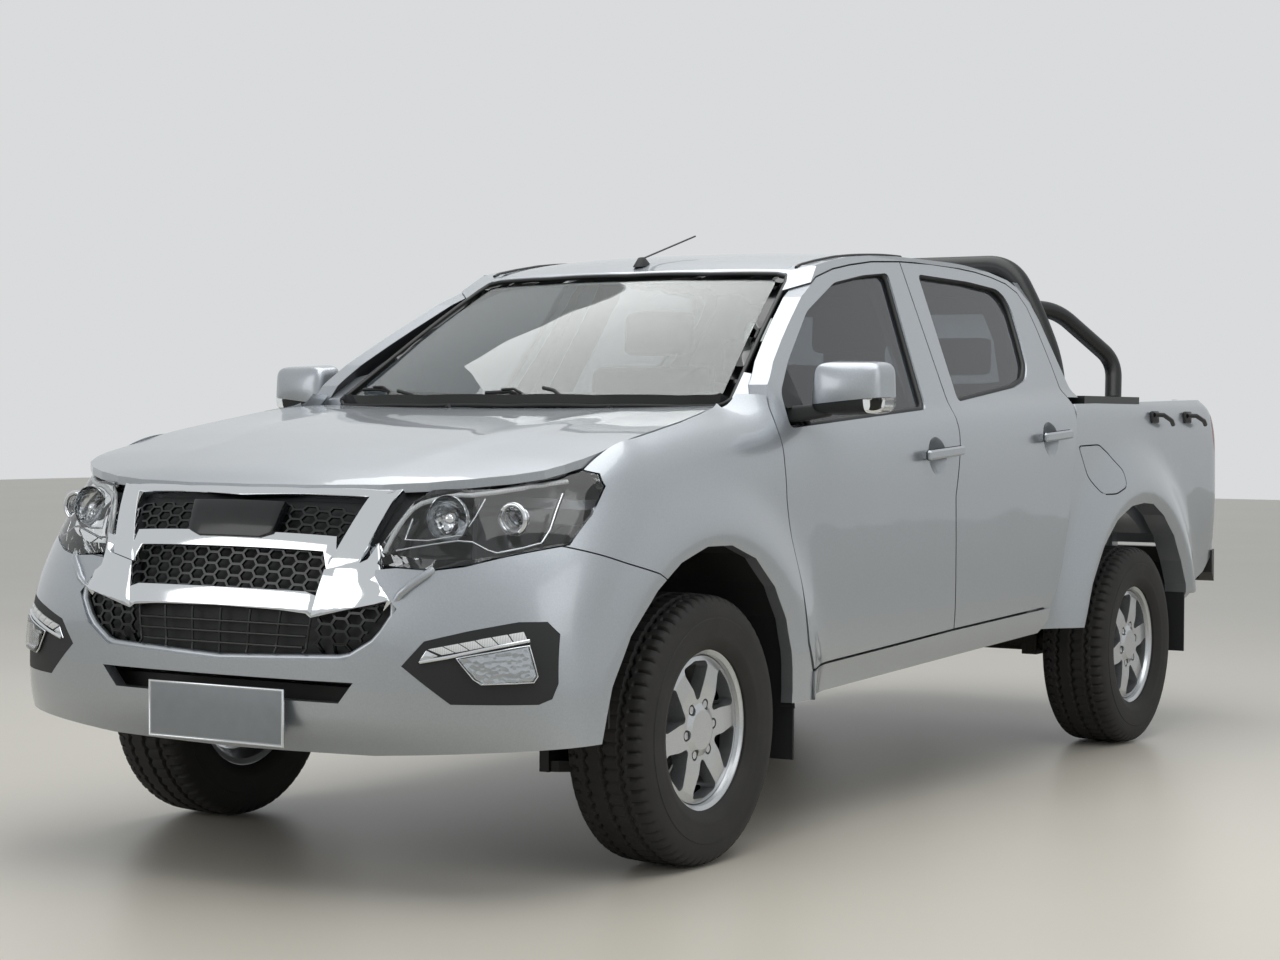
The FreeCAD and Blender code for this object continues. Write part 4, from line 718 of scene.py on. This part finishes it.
lamp_strip("light_guide", [(458, -833, 850), (469, -813, 892), (483, -790, 931), (498, -771, 958), (515, -756, 972),
                           (569, -722, 988), (669, -653, 1003), (751, -577, 1017), (791, -521, 1026)], 0.0068,
           diffuser)
lamp_strip("lamp_low_line", [(487, -824, 857), (562, -794, 872), (628, -761, 883), (661, -746, 881),
                             (699, -736, 862), (721, -726, 855), (766, -685, 867), (798, -646, 879)], 0.003, chrome)
lamp_strip("lamp_outer_strip", [(796, -550, 996), (798, -581, 957), (803, -617, 909), (798, -646, 879)], 0.0055,
           chrome)
lamp_strip("bowl_edge", [(506, -781, 934), (500, -800, 880), (558, -789, 882), (635, -750, 897), (649, -717, 940),
                         (655, -683, 984)], 0.003, chrome)
print("headlamps done")

# %% [markdown]
# ## Fog lamps and day lights
# Each corner of the bumper has a black six-sided bezel. In it lie a day light of six bright blocks, a plated
# strip below, and a fluted clear fog lens.

# %% Fog lamp corner
fog_skin = nodes["fog_lamps"]
dress(grained, "fog_lamps")


def corner_piece(name, points, thick, finish, lift=0.004, edge=0.0015):
    piece = flat_shape(name, real(points), (0.5, -1, 0))
    slice_up(piece, 0.02)
    wrap(piece, fog_skin, lift)
    thicken(piece, thick, edge)
    finish_piece(piece, name + "_left", finish, "truck")
    mirrored(piece, name + "_right", finish, "truck")
    return piece


top = [(606, -851, 622), (812, -741, 667)]
low = [(640, -840, 609), (820, -738, 648)]
for k in range(6):
    a, b = k / 6 + 0.006, (k + 1) / 6 - 0.006
    pick = lambda line, t: tuple(line[0][i] + (line[1][i] - line[0][i]) * t for i in range(3))
    corner_piece("day_light_" + str(k), [pick(top, a), pick(top, b), pick(low, b), pick(low, a)], 0.006, diffuser)
corner_piece("day_light_tip", [(584, -858, 589), (604, -852, 620), (634, -843, 607)], 0.006, chrome)
strip = snapped(real([(590, -858, 591), (655, -835, 604), (740, -795, 625), (826, -738, 646)]), fog_skin, 0.004)
strip = swept("fog_strip_left", strip, 0.005, chrome, "truck")
mirrored(strip, "fog_strip_right", chrome, "truck", 60)
corner_piece("fog_reflector", [(680, -826, 600), (822, -739, 631), (838, -730, 562), (832, -737, 550),
                               (735, -802, 545), (718, -810, 556)], 0.004, reflector, 0.003)
corner_piece("fog_lens", [(677, -827, 602), (824, -738, 633), (842, -729, 561), (835, -735, 547), (732, -803, 542),
                          (715, -811, 554)], 0.008, lens_clear, 0.012, 0.003)
rim = snapped(real([(677, -827, 602), (824, -738, 633), (842, -729, 561), (835, -735, 547), (732, -803, 542),
                    (715, -811, 554)]), fog_skin, 0.006, closed=True)
rim = swept("fog_rim_left", rim, 0.003, chrome, "truck", closed=True)
mirrored(rim, "fog_rim_right", chrome, "truck", 60)
print("fog corners done")
# %% [markdown]
# ## Window seals and glass edges
# Rubber seals run round every pane. The pane's own outer face gives the line: the face is copied, its border
# is picked, turned into a curve, and swept. The windscreen has a black ceramic band baked round its edge,
# which is a band of the same face, inset and lifted half a millimetre.

# %% Rubber and the face picker
seal_rubber, tree, shader = new_finish("extruded_seal_rubber", Roughness=0.5)
haze = grain(tree, 8.0, 2.0)
tone = add(tree, "ShaderNodeMix", {"Factor": haze.outputs["Fac"], 6: linear("#101112"), 7: linear("#1A1B1C")},
           data_type="RGBA")
tree.links.new(tone.outputs[2], shader.inputs["Base Color"])

ceramic, tree, shader = new_finish("baked_ceramic_band_black", Roughness=0.12)
haze = grain(tree, 8.0, 2.0)
tone = add(tree, "ShaderNodeMix", {"Factor": haze.outputs["Fac"], 6: linear("#070708"), 7: linear("#101113")},
           data_type="RGBA")
tree.links.new(tone.outputs[2], shader.inputs["Base Color"])


def face_copy(node, keep):
    """A copy of the node that has only the faces for which keep(normal, centre) is true."""
    part = nodes[node].copy()
    part.data = nodes[node].data.copy()
    scene.collection.objects.link(part)
    part.parent = None
    part.matrix_world = Matrix.Identity(4)
    part.hide_viewport = False
    part.hide_render = False
    part.hide_set(False)
    use(part)
    bpy.ops.object.mode_set(mode="EDIT")
    bpy.ops.mesh.select_all(action="SELECT")
    bpy.ops.mesh.remove_doubles(threshold=0.0002)
    bpy.ops.mesh.select_all(action="DESELECT")
    bpy.ops.object.mode_set(mode="OBJECT")
    for face in part.data.polygons:
        face.select = not keep(face.normal, face.center)
    bpy.ops.object.mode_set(mode="EDIT")
    bpy.ops.mesh.select_mode(type="FACE")
    bpy.ops.mesh.delete(type="FACE")
    bpy.ops.object.mode_set(mode="OBJECT")
    return part


def border_seal(name, part, radius, body, lift, finish=None):
    """Sweeps a seal along the longest border of a face copy."""
    edges = {}
    for face in part.data.polygons:
        for key in face.edge_keys:
            edges[key] = edges.get(key, 0) + 1
    rim = [key for key, count in edges.items() if count == 1]
    links = {}
    for a, b in rim:
        links.setdefault(a, []).append(b)
        links.setdefault(b, []).append(a)
    loops = []
    left = set(links)
    while left:
        start = left.pop()
        loop = [start]
        while True:
            onward = [v for v in links[loop[-1]] if v in left]
            if not onward:
                break
            loop.append(onward[0])
            left.discard(onward[0])
        loops.append(loop)
    places = [[part.data.vertices[i].co + lift for i in loop] for loop in loops]
    best = max(places, key=lambda line: sum((a - b).length for a, b in zip(line, line[1:])))
    thin = [best[0]]
    for place in best[1:]:
        if (place - thin[-1]).length > 0.012:
            thin.append(place)
    return swept(name, thin, radius, finish or seal_rubber, body, closed=True)


# %% Seals of the side panes
bodies = {"front_glass_left": "front_left_door", "front_glass_right": "front_right_door",
          "rear_glass_left": "rear_left_door", "rear_glass_right": "rear_right_door"}
for pane, body in bodies.items():
    side = 1 if "left" in pane else -1
    part = face_copy(pane, lambda normal, centre: normal.x * side > 0.5)
    border_seal(pane + "_seal", part, 0.010, body, Vector((side * 0.004, 0, 0)))
    bpy.data.objects.remove(part)
print("side seals done")

# %% Windscreen band
part = face_copy("cab_glass", lambda normal, centre: normal.y < -0.3 and centre.y < 0.2)
border_seal("windscreen_seal", part, 0.007, "truck", Vector((0, -0.003, 0.002)))
use(part)
bpy.ops.object.mode_set(mode="EDIT")
bpy.ops.mesh.select_all(action="SELECT")
bpy.ops.mesh.inset(thickness=0.034, depth=0.0, use_boundary=True)
bpy.ops.mesh.delete(type="FACE")
bpy.ops.object.mode_set(mode="OBJECT")
shift(part, (0, -0.0012, 0.0009))
modify(part, "SOLIDIFY", thickness=0.0005, offset=1.0)
finish_piece(part, "windscreen_band", ceramic, "truck")
print("windscreen band", len(part.data.polygons), "faces")

# %% [markdown]
# ## Cabin lining
# A cab isn't painted inside: doors carry moulded cards, the roof pale felt, and the floor and other walls soft black
# trim. Each lining is a copy of the solid's inner faces, set 2 mm proud, so it follows every curve of the shell.

# %% Lining
felt, tree, shader = new_finish("needle_felt_grey", Roughness=0.95, Sheen_Weight=0.3)
fibre = grain(tree, 1.5, 5.0)
tone = add(tree, "ShaderNodeMix", {"Factor": fibre.outputs["Fac"], 6: linear("#6F7072"), 7: linear("#8C8D8F")},
           data_type="RGBA")
tree.links.new(tone.outputs[2], shader.inputs["Base Color"])


def lining(name, node, keep, finish, body, gap=0.002):
    part = face_copy(node, keep)
    use(part)
    bpy.ops.object.mode_set(mode="EDIT")
    bpy.ops.mesh.select_all(action="SELECT")
    bpy.ops.transform.shrink_fatten(value=gap)
    bpy.ops.object.mode_set(mode="OBJECT")
    print(name, len(part.data.polygons), "faces")
    return finish_piece(part, name, finish, body)


for door, body in (("front_door", "front_{}_door"), ("rear_door", "rear_{}_door")):
    for hand, side in (("left", 1), ("right", -1)):
        lining(door + "_card_" + hand, door + "_" + hand,
               lambda normal, centre: normal.x * side < -0.35, soft_black, body.format(hand))
inside = lambda c: abs(c.x) < 0.84 and -1.02 < c.y < 1.02 and 0.5 < c.z < 1.70
lining("roof_felt", "cab_body", lambda n, c: inside(c) and n.z < -0.6 and c.z > 1.45, felt, "truck")
lining("cab_trim", "cab_body", lambda n, c: inside(c) and n.z > -0.6
       and n.dot(Vector((-c.x * 0.9, -(c.y - 0.1) * 0.6, 1.1 - c.z))) > 0 and abs(c.x) < 0.80, soft_black, "truck")

# %% [markdown]
# ## Roof strips, aerial and wipers
# Black rubber strips fill the two roof ditches, a black line shows over the doors, and a short rod aerial
# leans back at the front of the roof. Two wipers lie at the foot of the windscreen.

# %% Roof strips
roof = nodes["cab_body"]
for side in (1, -1):
    line = [Vector((side * x / 1000, FRONT + y / 1000, z / 1000)) for x, y, z in
            [(562, 1075, 1645), (560, 1300, 1690), (566, 1700, 1706), (576, 2100, 1703), (584, 2500, 1690)]]
    name = "roof_strip_left" if side > 0 else "roof_strip_right"
    swept(name, snapped(line, roof, 0.001), 0.0055, seal_rubber, "truck")

# %% Aerial
clear()
bpy.ops.mesh.primitive_cone_add(vertices=32, radius1=0.030, radius2=0.010, depth=0.030, location=(0, 0, 0))
foot = bpy.context.object
foot.data.transform(Matrix.Diagonal((0.75, 1.5, 1.0, 1.0)))
modify(foot, "BEVEL", width=0.004, segments=3, limit_method="ANGLE")
foot.location = snapped([Vector((0, FRONT + 1.085, 1.69))], roof, 0.013)[0]
foot.rotation_euler = (math.radians(6), 0, 0)
use(foot)
finish_piece(foot, "aerial_foot", grained, "truck")
base = snapped([Vector((0, FRONT + 1.090, 1.69))], roof, 0.022)[0]
rod = [base, base.lerp(Vector((0, FRONT + 1.42, 1.778)), 0.5), Vector((0, FRONT + 1.42, 1.778))]
swept("aerial_rod", rod, 0.0028, powder, "truck")

# %% Wipers
screen = nodes["cab_glass"]


def wiper(name, pivot, tip, blade_a, blade_b):
    arm = snapped([pivot, pivot.lerp(tip, 0.5), tip], screen, 0.014, 0.04)
    swept(name + "_arm", arm, 0.006, powder, "truck")
    blade = snapped([blade_a, blade_b], screen, 0.006, 0.04)
    swept(name + "_blade", blade, 0.006, seal_rubber, "truck")
    spine = snapped([blade_a.lerp(blade_b, 0.12), blade_a.lerp(blade_b, 0.88)], screen, 0.015, 0.04)
    swept(name + "_spine", spine, 0.0045, powder, "truck")


wiper("wiper_left", Vector((0.36, FRONT + 0.352, 1.200)), Vector((0.10, FRONT + 0.395, 1.256)),
      Vector((0.40, FRONT + 0.420, 1.245)), Vector((-0.10, FRONT + 0.380, 1.252)))
wiper("wiper_right", Vector((-0.20, FRONT + 0.330, 1.198)), Vector((-0.45, FRONT + 0.42, 1.252)),
      Vector((-0.18, FRONT + 0.395, 1.245)), Vector((-0.63, FRONT + 0.475, 1.262)))
print("roof and screen details done")

# %% [markdown]
# ## Mirrors
# The housing is a cube rounded by two levels of subdivision: a painted cap above a black lower band, on a
# black arm and sail. Cap and band are two copies of one shape, each cut by a plane, so that they meet with
# no step. The mirror plate faces back and an indicator wraps the outer lower corner.

# %% Mirror
def cut_copy(source, plane_co, plane_no):
    part = source.copy()
    part.data = source.data.copy()
    scene.collection.objects.link(part)
    use(part)
    bpy.ops.object.mode_set(mode="EDIT")
    bpy.ops.mesh.select_all(action="SELECT")
    bpy.ops.mesh.bisect(plane_co=plane_co, plane_no=plane_no, clear_outer=True, use_fill=True)
    bpy.ops.object.mode_set(mode="OBJECT")
    return part


clear()
bpy.ops.mesh.primitive_cube_add(size=1.0)
shell = bpy.context.object
corners = {(-1, -1, -1): (876, 566, 1196), (1, -1, -1): (1092, 590, 1200), (-1, 1, -1): (880, 688, 1188),
           (1, 1, -1): (1104, 694, 1196), (-1, -1, 1): (888, 572, 1340), (1, -1, 1): (1084, 590, 1338),
           (-1, 1, 1): (884, 690, 1350), (1, 1, 1): (1100, 692, 1344)}
for v in shell.data.vertices:
    key = tuple(1 if c > 0 else -1 for c in v.co)
    x, y, z = corners[key]
    v.co = (x / 1000, FRONT + y / 1000, z / 1000)
use(shell)
bpy.ops.object.mode_set(mode="EDIT")
bpy.ops.mesh.select_all(action="SELECT")
bpy.ops.mesh.subdivide(number_cuts=2)
bpy.ops.object.mode_set(mode="OBJECT")
middle = Vector((0.985, FRONT + 0.63, 1.268))
for v in shell.data.vertices:
    if v.co.y < FRONT + 0.60:
        r = ((v.co.x - middle.x) / 0.11) ** 2 + ((v.co.z - middle.z) / 0.075) ** 2
        v.co.y -= 0.022 * max(0.0, 1.0 - r)
modify(shell, "SUBSURF", levels=3, render_levels=3)
use(shell)
slope = Vector((0.10, 0, -1)).normalized()
cap = cut_copy(shell, (0.99, FRONT + 0.62, 1.232), slope)
band = cut_copy(shell, (0.99, FRONT + 0.62, 1.2305), -slope)
whole = band
light = cut_copy(whole, (1.045, FRONT, 1.2), Vector((-1, 0, 0)))
band = cut_copy(whole, (1.044, FRONT, 1.2), Vector((1, 0, 0)))
bpy.data.objects.remove(whole)
for part, name, finish in ((cap, "mirror_cap", silver), (band, "mirror_band", grained),
                           (light, "mirror_light", lens_clear)):
    part.data.update()
    finish_piece(part, name + "_left", finish, "front_left_door")
    mirrored(part, name + "_right", finish, "front_right_door")
bpy.data.objects.remove(shell)

clear()
bpy.ops.mesh.primitive_cube_add(size=1.0)
arm = bpy.context.object
corners = {(-1, -1, -1): (812, 552, 1168), (1, -1, -1): (925, 590, 1186), (-1, 1, -1): (815, 616, 1168),
           (1, 1, -1): (925, 640, 1190), (-1, -1, 1): (806, 554, 1216), (1, -1, 1): (920, 590, 1226),
           (-1, 1, 1): (806, 616, 1216), (1, 1, 1): (920, 640, 1226)}
for v in arm.data.vertices:
    x, y, z = corners[tuple(1 if c > 0 else -1 for c in v.co)]
    v.co = (x / 1000, FRONT + y / 1000, z / 1000)
modify(arm, "BEVEL", width=0.010, segments=4)
finish_piece(arm, "mirror_arm_left", grained, "front_left_door")
mirrored(arm, "mirror_arm_right", grained, "front_right_door")

mirror_face, tree, shader = new_finish("silvered_glass", Metallic=1.0, Roughness=0.02)
haze = grain(tree, 50.0, 1.0)
tree.links.new(spread(tree, haze.outputs["Fac"], 0.01, 0.04).outputs["Result"], shader.inputs["Roughness"])
clear()
bpy.ops.mesh.primitive_circle_add(vertices=48, radius=1.0, fill_type="NGON", rotation=(math.radians(90), 0, 0))
pane = bpy.context.object
bpy.ops.object.transform_apply(rotation=True)
for v in pane.data.vertices:
    a = math.atan2(v.co.z, v.co.x)
    c, s = math.cos(a), math.sin(a)
    v.co = (0.990 + 0.088 * math.copysign(abs(c) ** 0.5, c), FRONT + 0.6905, 1.268 + 0.058 * math.copysign(abs(s) ** 0.5, s))
pane.data.update()
thicken(pane, 0.003, 0.0)
finish_piece(pane, "mirror_plate_left", mirror_face, "front_left_door")
mirrored(pane, "mirror_plate_right", mirror_face, "front_right_door")

for hand, side in (("left", 1), ("right", -1)):
    body = "front_" + hand + "_door"
    sail = face_copy("mirror_" + hand, lambda n, c: c.x * side < 0.83 and c.z > 1.15)
    finish_piece(sail, "mirror_sail_" + hand, grained, body)
    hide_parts("mirror_" + hand)
print("mirrors done")
# %% [markdown]
# ## Tyres
# A tyre is a moulded ring: sidewalls with thin ribs, rounded shoulders, and a tread cut by zigzag grooves and
# by slots at the shoulders. The section is spun into a ring, and then each point of the tread is moved in
# where a groove passes over it. One tyre is made and copied to the other three.

# %% One tyre
section = [(-0.100, 0.212), (-0.112, 0.226), (-0.117, 0.240), (-0.1185, 0.244), (-0.1185, 0.250), (-0.1205, 0.262),
           (-0.1215, 0.280), (-0.1215, 0.296), (-0.1195, 0.298), (-0.1195, 0.304), (-0.1190, 0.312), (-0.1165, 0.326),
           (-0.112, 0.338), (-0.106, 0.347), (-0.100, 0.352), (-0.094, 0.3545)]
steps = 40
crown = [(-0.088 + 0.176 * k / steps, 0.356 + 0.0035 * (1 - (2 * k / steps - 1) ** 2)) for k in range(steps + 1)]
section = section + crown + [(-x, r) for x, r in section[::-1]]
TURNS = 320
clear()
bpy.ops.mesh.primitive_circle_add(vertices=len(section), radius=1.0)
tyre = bpy.context.object
for v, (x, r) in zip(tyre.data.vertices, section):
    v.co = (x, 0, r)
bpy.ops.object.mode_set(mode="EDIT")
bpy.ops.mesh.select_all(action="SELECT")
bpy.ops.mesh.spin(steps=TURNS, angle=2 * math.pi, center=(0, 0, 0), axis=(1, 0, 0))
bpy.ops.mesh.select_all(action="SELECT")
bpy.ops.mesh.remove_doubles(threshold=0.0002)
bpy.ops.mesh.normals_make_consistent(inside=False)
bpy.ops.object.mode_set(mode="OBJECT")
PITCH = 2 * math.pi / 64


def groove(x, turn):
    wave = abs((turn / PITCH) % 1.0 - 0.5) * 4 - 1
    for middle in (-0.052, 0.0, 0.052):
        if abs(x - middle - 0.0045 * wave) < 0.0052:
            return 0.009
    slot = (turn / PITCH + (0.5 if x > 0 else 0.0)) % 1.0
    if abs(x) > 0.072 and slot < 0.2:
        return 0.008
    if 0.012 < abs(x) < 0.046 and abs(slot - 0.5) < 0.07:
        return 0.004
    return 0.0


for v in tyre.data.vertices:
    r = math.hypot(v.co.y, v.co.z)
    if r > 0.343:
        depth = groove(v.co.x, math.atan2(v.co.z, v.co.y))
        v.co.y *= (r - depth) / r
        v.co.z *= (r - depth) / r
print("tyre", len(tyre.data.polygons), "faces")
corner = {"front_left": (0.785, FRONT), "front_right": (-0.785, FRONT), "rear_left": (0.785, REAR),
          "rear_right": (-0.785, REAR)}
for place, (x, y) in corner.items():
    copy = tyre.copy()
    copy.data = tyre.data.copy()
    scene.collection.objects.link(copy)
    low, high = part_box("tyre_" + place)
    centre = (Vector(low) + Vector(high)) / 2
    width = (high[0] - low[0]) / 0.243
    copy.data.transform(Matrix.Translation(centre) @ Matrix.Diagonal((width, 1.0, 1.0, 1.0)))
    finish_piece(copy, "tread_" + place, rubber, place + "_wheel", 40)
    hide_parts("tyre_" + place)
bpy.data.objects.remove(tyre)

# %% [markdown]
# ## Seats
# Seats are foam under woven cloth. Each cushion starts as a block with its corners drawn in, is blown up a
# little by a cloth simulation with pressure, and is smoothed. Headrests are small versions.

# %% Cushion maker
def cushion(name, low, high, lean=0.0, swell=4.0, body="truck", cap=0.012):
    clear()
    low, high = Vector(low), Vector(high)
    bpy.ops.mesh.primitive_cube_add(size=1.0, location=(low + high) / 2)
    pad = bpy.context.object
    pad.scale = high - low
    bpy.ops.object.transform_apply(location=True, rotation=True, scale=True)
    modify(pad, "BEVEL", width=min(high - low) * 0.28, segments=3)
    use(pad)
    pad.data.remesh_voxel_size = 0.014
    bpy.ops.object.voxel_remesh()
    before = [v.co.copy() for v in pad.data.vertices]
    cloth_step = pad.modifiers.new("Cloth", "CLOTH")
    cloth_step.settings.use_pressure = True
    cloth_step.settings.uniform_pressure_force = swell
    cloth_step.settings.effector_weights.gravity = 0.0
    cloth_step.settings.quality = 4
    for frame_number in range(1, 13):
        scene.frame_set(frame_number)
    bpy.ops.object.modifier_apply(modifier="Cloth")
    scene.frame_set(1)
    for v, old in zip(pad.data.vertices, before):
        move = v.co - old
        if move.length > cap:
            v.co = old + move.normalized() * cap
    middle = (low + high) / 2
    for v in pad.data.vertices:
        v.co.y += (v.co.z - low.z) * lean
    modify(pad, "SMOOTH", factor=0.5, iterations=3)
    finish_piece(pad, name, cloth, body, 80)
    return pad


low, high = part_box("front_seats")
print("front seats in", [round(v, 2) for v in low], [round(v, 2) for v in high])
low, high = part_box("rear_bench")
print("rear bench in", [round(v, 2) for v in low], [round(v, 2) for v in high])
made = []
for x, hand in ((0.37, "left"), (-0.37, "right")):
    made.append(cushion("seat_base_" + hand, (x - 0.24, -0.49, 0.78), (x + 0.24, 0.02, 0.92)))
    made.append(cushion("seat_back_" + hand, (x - 0.24, -0.02, 0.90), (x + 0.24, 0.10, 1.37), 0.20))
    made.append(cushion("seat_head_" + hand, (x - 0.13, 0.115, 1.40), (x + 0.13, 0.20, 1.55), 0.08))
for piece in made[:1]:
    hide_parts("front_seats")
bench = [cushion("bench_base", (-0.63, 0.39, 0.80), (0.63, 0.84, 0.93)),
         cushion("bench_back", (-0.63, 0.82, 0.92), (0.63, 0.92, 1.32), 0.14)]
for x in (-0.42, 0.0, 0.42):
    bench.append(cushion("bench_head_" + str(int(x * 100 + 50)), (x - 0.12, 0.885, 1.34), (x + 0.12, 0.95, 1.47), 0.05))
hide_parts("rear_bench")
print("cushions", len(made) + len(bench))

# %% [markdown]
# ## Bed fittings
# The tail lamps are tall red lenses. Black plates are bolted on the bed rails, and two rope
# hooks stand on each side near the rear. Door handles and fuel flap belong to the shell.

# %% Tail lamps
for hand, side in (("left", 1), ("right", -1)):
    part = face_copy("tail_lights", lambda n, c: c.x * side > 0)
    finish_piece(part, "tail_lens_" + hand, lens_red, "truck")
    if side > 0:
        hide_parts("tail_lights")
    xs = [v.co.x for v in part.data.vertices]
    ys = [v.co.y for v in part.data.vertices]
    zs = [v.co.z for v in part.data.vertices]
    print("tail lamp", hand, [round(v, 3) for v in (min(xs), max(xs), min(ys), max(ys), min(zs), max(zs))])

# %% Hooks and rail plates
bed = nodes["load_bed"]
for hand, side in (("left", 1), ("right", -1)):
    for k, (y0, y1) in enumerate(((3.310, 3.453), (3.665, 3.812))):
        top = snapped([Vector((side * 0.93, FRONT + y0, 1.212))], bed, 0.014)[0]
        end = snapped([Vector((side * 0.93, FRONT + y1, 1.170))], bed, 0.030)[0]
        line = [top, top.lerp(end, 0.3) + Vector((side * 0.014, 0, 0.010)), top.lerp(end, 0.7) + Vector((side * 0.016, 0, 0.004)), end]
        swept("hook_" + hand + "_" + str(k), line, 0.0085, powder, "truck", sides=4)
        clear()
        bpy.ops.mesh.primitive_cube_add(size=1.0, location=(0, 0, 0))
        foot = bpy.context.object
        foot.scale = (0.014, 0.070, 0.046)
        use(foot)
        bpy.ops.object.transform_apply(scale=True)
        modify(foot, "BEVEL", width=0.006, segments=3)
        foot.location = snapped([Vector((side * 0.93, FRONT + y0 + 0.022, 1.205))], bed, 0.005)[0]
        finish_piece(foot, "hook_foot_" + hand + "_" + str(k), powder, "truck")
print("hooks done")
# %% [markdown]
# ## Floor, light and camera
# A pale floor and a pale room, lit by a wide soft ceiling panel and two weaker side panels. The room's
# colour for the eye and for mirrors is set apart from its strength as a light, so paler walls add no light.

# %% Floor and room
clear()
bpy.ops.mesh.primitive_plane_add(size=60.0, location=(0, 0, 0))
floor = bpy.context.object
floor.name = "floor"
floor_finish, tree, shader = new_finish("polished_screed_pale", Roughness=0.35)
cloud = grain(tree, 900.0, 3.0)
tone = add(tree, "ShaderNodeMix", {"Factor": cloud.outputs["Fac"], 6: linear("#CFCABD"), 7: linear("#DAD5C9")},
           data_type="RGBA")
tree.links.new(tone.outputs[2], shader.inputs["Base Color"])
floor.data.materials.append(floor_finish)

world = bpy.data.worlds.new("room")
scene.world = world
world.use_nodes = True
tree = world.node_tree
tree.nodes.clear()
paths = add(tree, "ShaderNodeLightPath")
seen = add(tree, "ShaderNodeMath", {0: paths.outputs["Is Camera Ray"], 1: paths.outputs["Is Glossy Ray"]},
           operation="ADD")
seen = add(tree, "ShaderNodeMath", {0: seen.outputs[0], 1: paths.outputs["Is Transmission Ray"]},
           operation="ADD", use_clamp=True)
lit = add(tree, "ShaderNodeBackground", {"Color": linear("#EEF1F4"), "Strength": 0.42})
shown = add(tree, "ShaderNodeBackground", {"Color": linear("#D9DBDC"), "Strength": 1.0})
both = add(tree, "ShaderNodeMixShader", {0: seen.outputs[0], 1: lit.outputs[0], 2: shown.outputs[0]})
add(tree, "ShaderNodeOutputWorld", {"Surface": both.outputs[0]})

# %% Soft lights
def panel(name, place, target, size, power):
    data = bpy.data.lights.new(name, "AREA")
    data.shape = "RECTANGLE"
    data.size, data.size_y = size
    data.energy = power
    lamp = bpy.data.objects.new(name, data)
    scene.collection.objects.link(lamp)
    lamp.location = place
    lamp.rotation_euler = (Vector(target) - Vector(place)).to_track_quat("-Z", "Y").to_euler()
    return lamp


panel("ceiling_panel", (0.4, -0.4, 4.6), (0.0, 0.0, 0.0), (4.2, 8.0), 210.0)
panel("left_panel", (7.0, -3.0, 3.4), (0.6, 0.0, 0.8), (5.0, 3.0), 45.0)
panel("nose_panel", (-3.5, -8.0, 3.0), (0.0, -2.0, 0.8), (4.0, 3.0), 60.0)

# %% Camera
lens = bpy.data.cameras.new("camera")
camera = bpy.data.objects.new("camera", lens)
scene.collection.objects.link(camera)
scene.camera = camera
lens.lens = 71.13
lens.sensor_width = 36.0
turn = Matrix.Rotation(math.radians(31.9), 4, "Z") @ Matrix.Rotation(math.radians(90.0 - 1.4), 4, "X")
turn = turn @ Matrix.Rotation(math.radians(0.3), 4, "Z")
camera.matrix_world = Matrix.Translation((4.2433, -7.3721, 1.1803)) @ turn
print("camera", [round(v, 3) for v in camera.location])
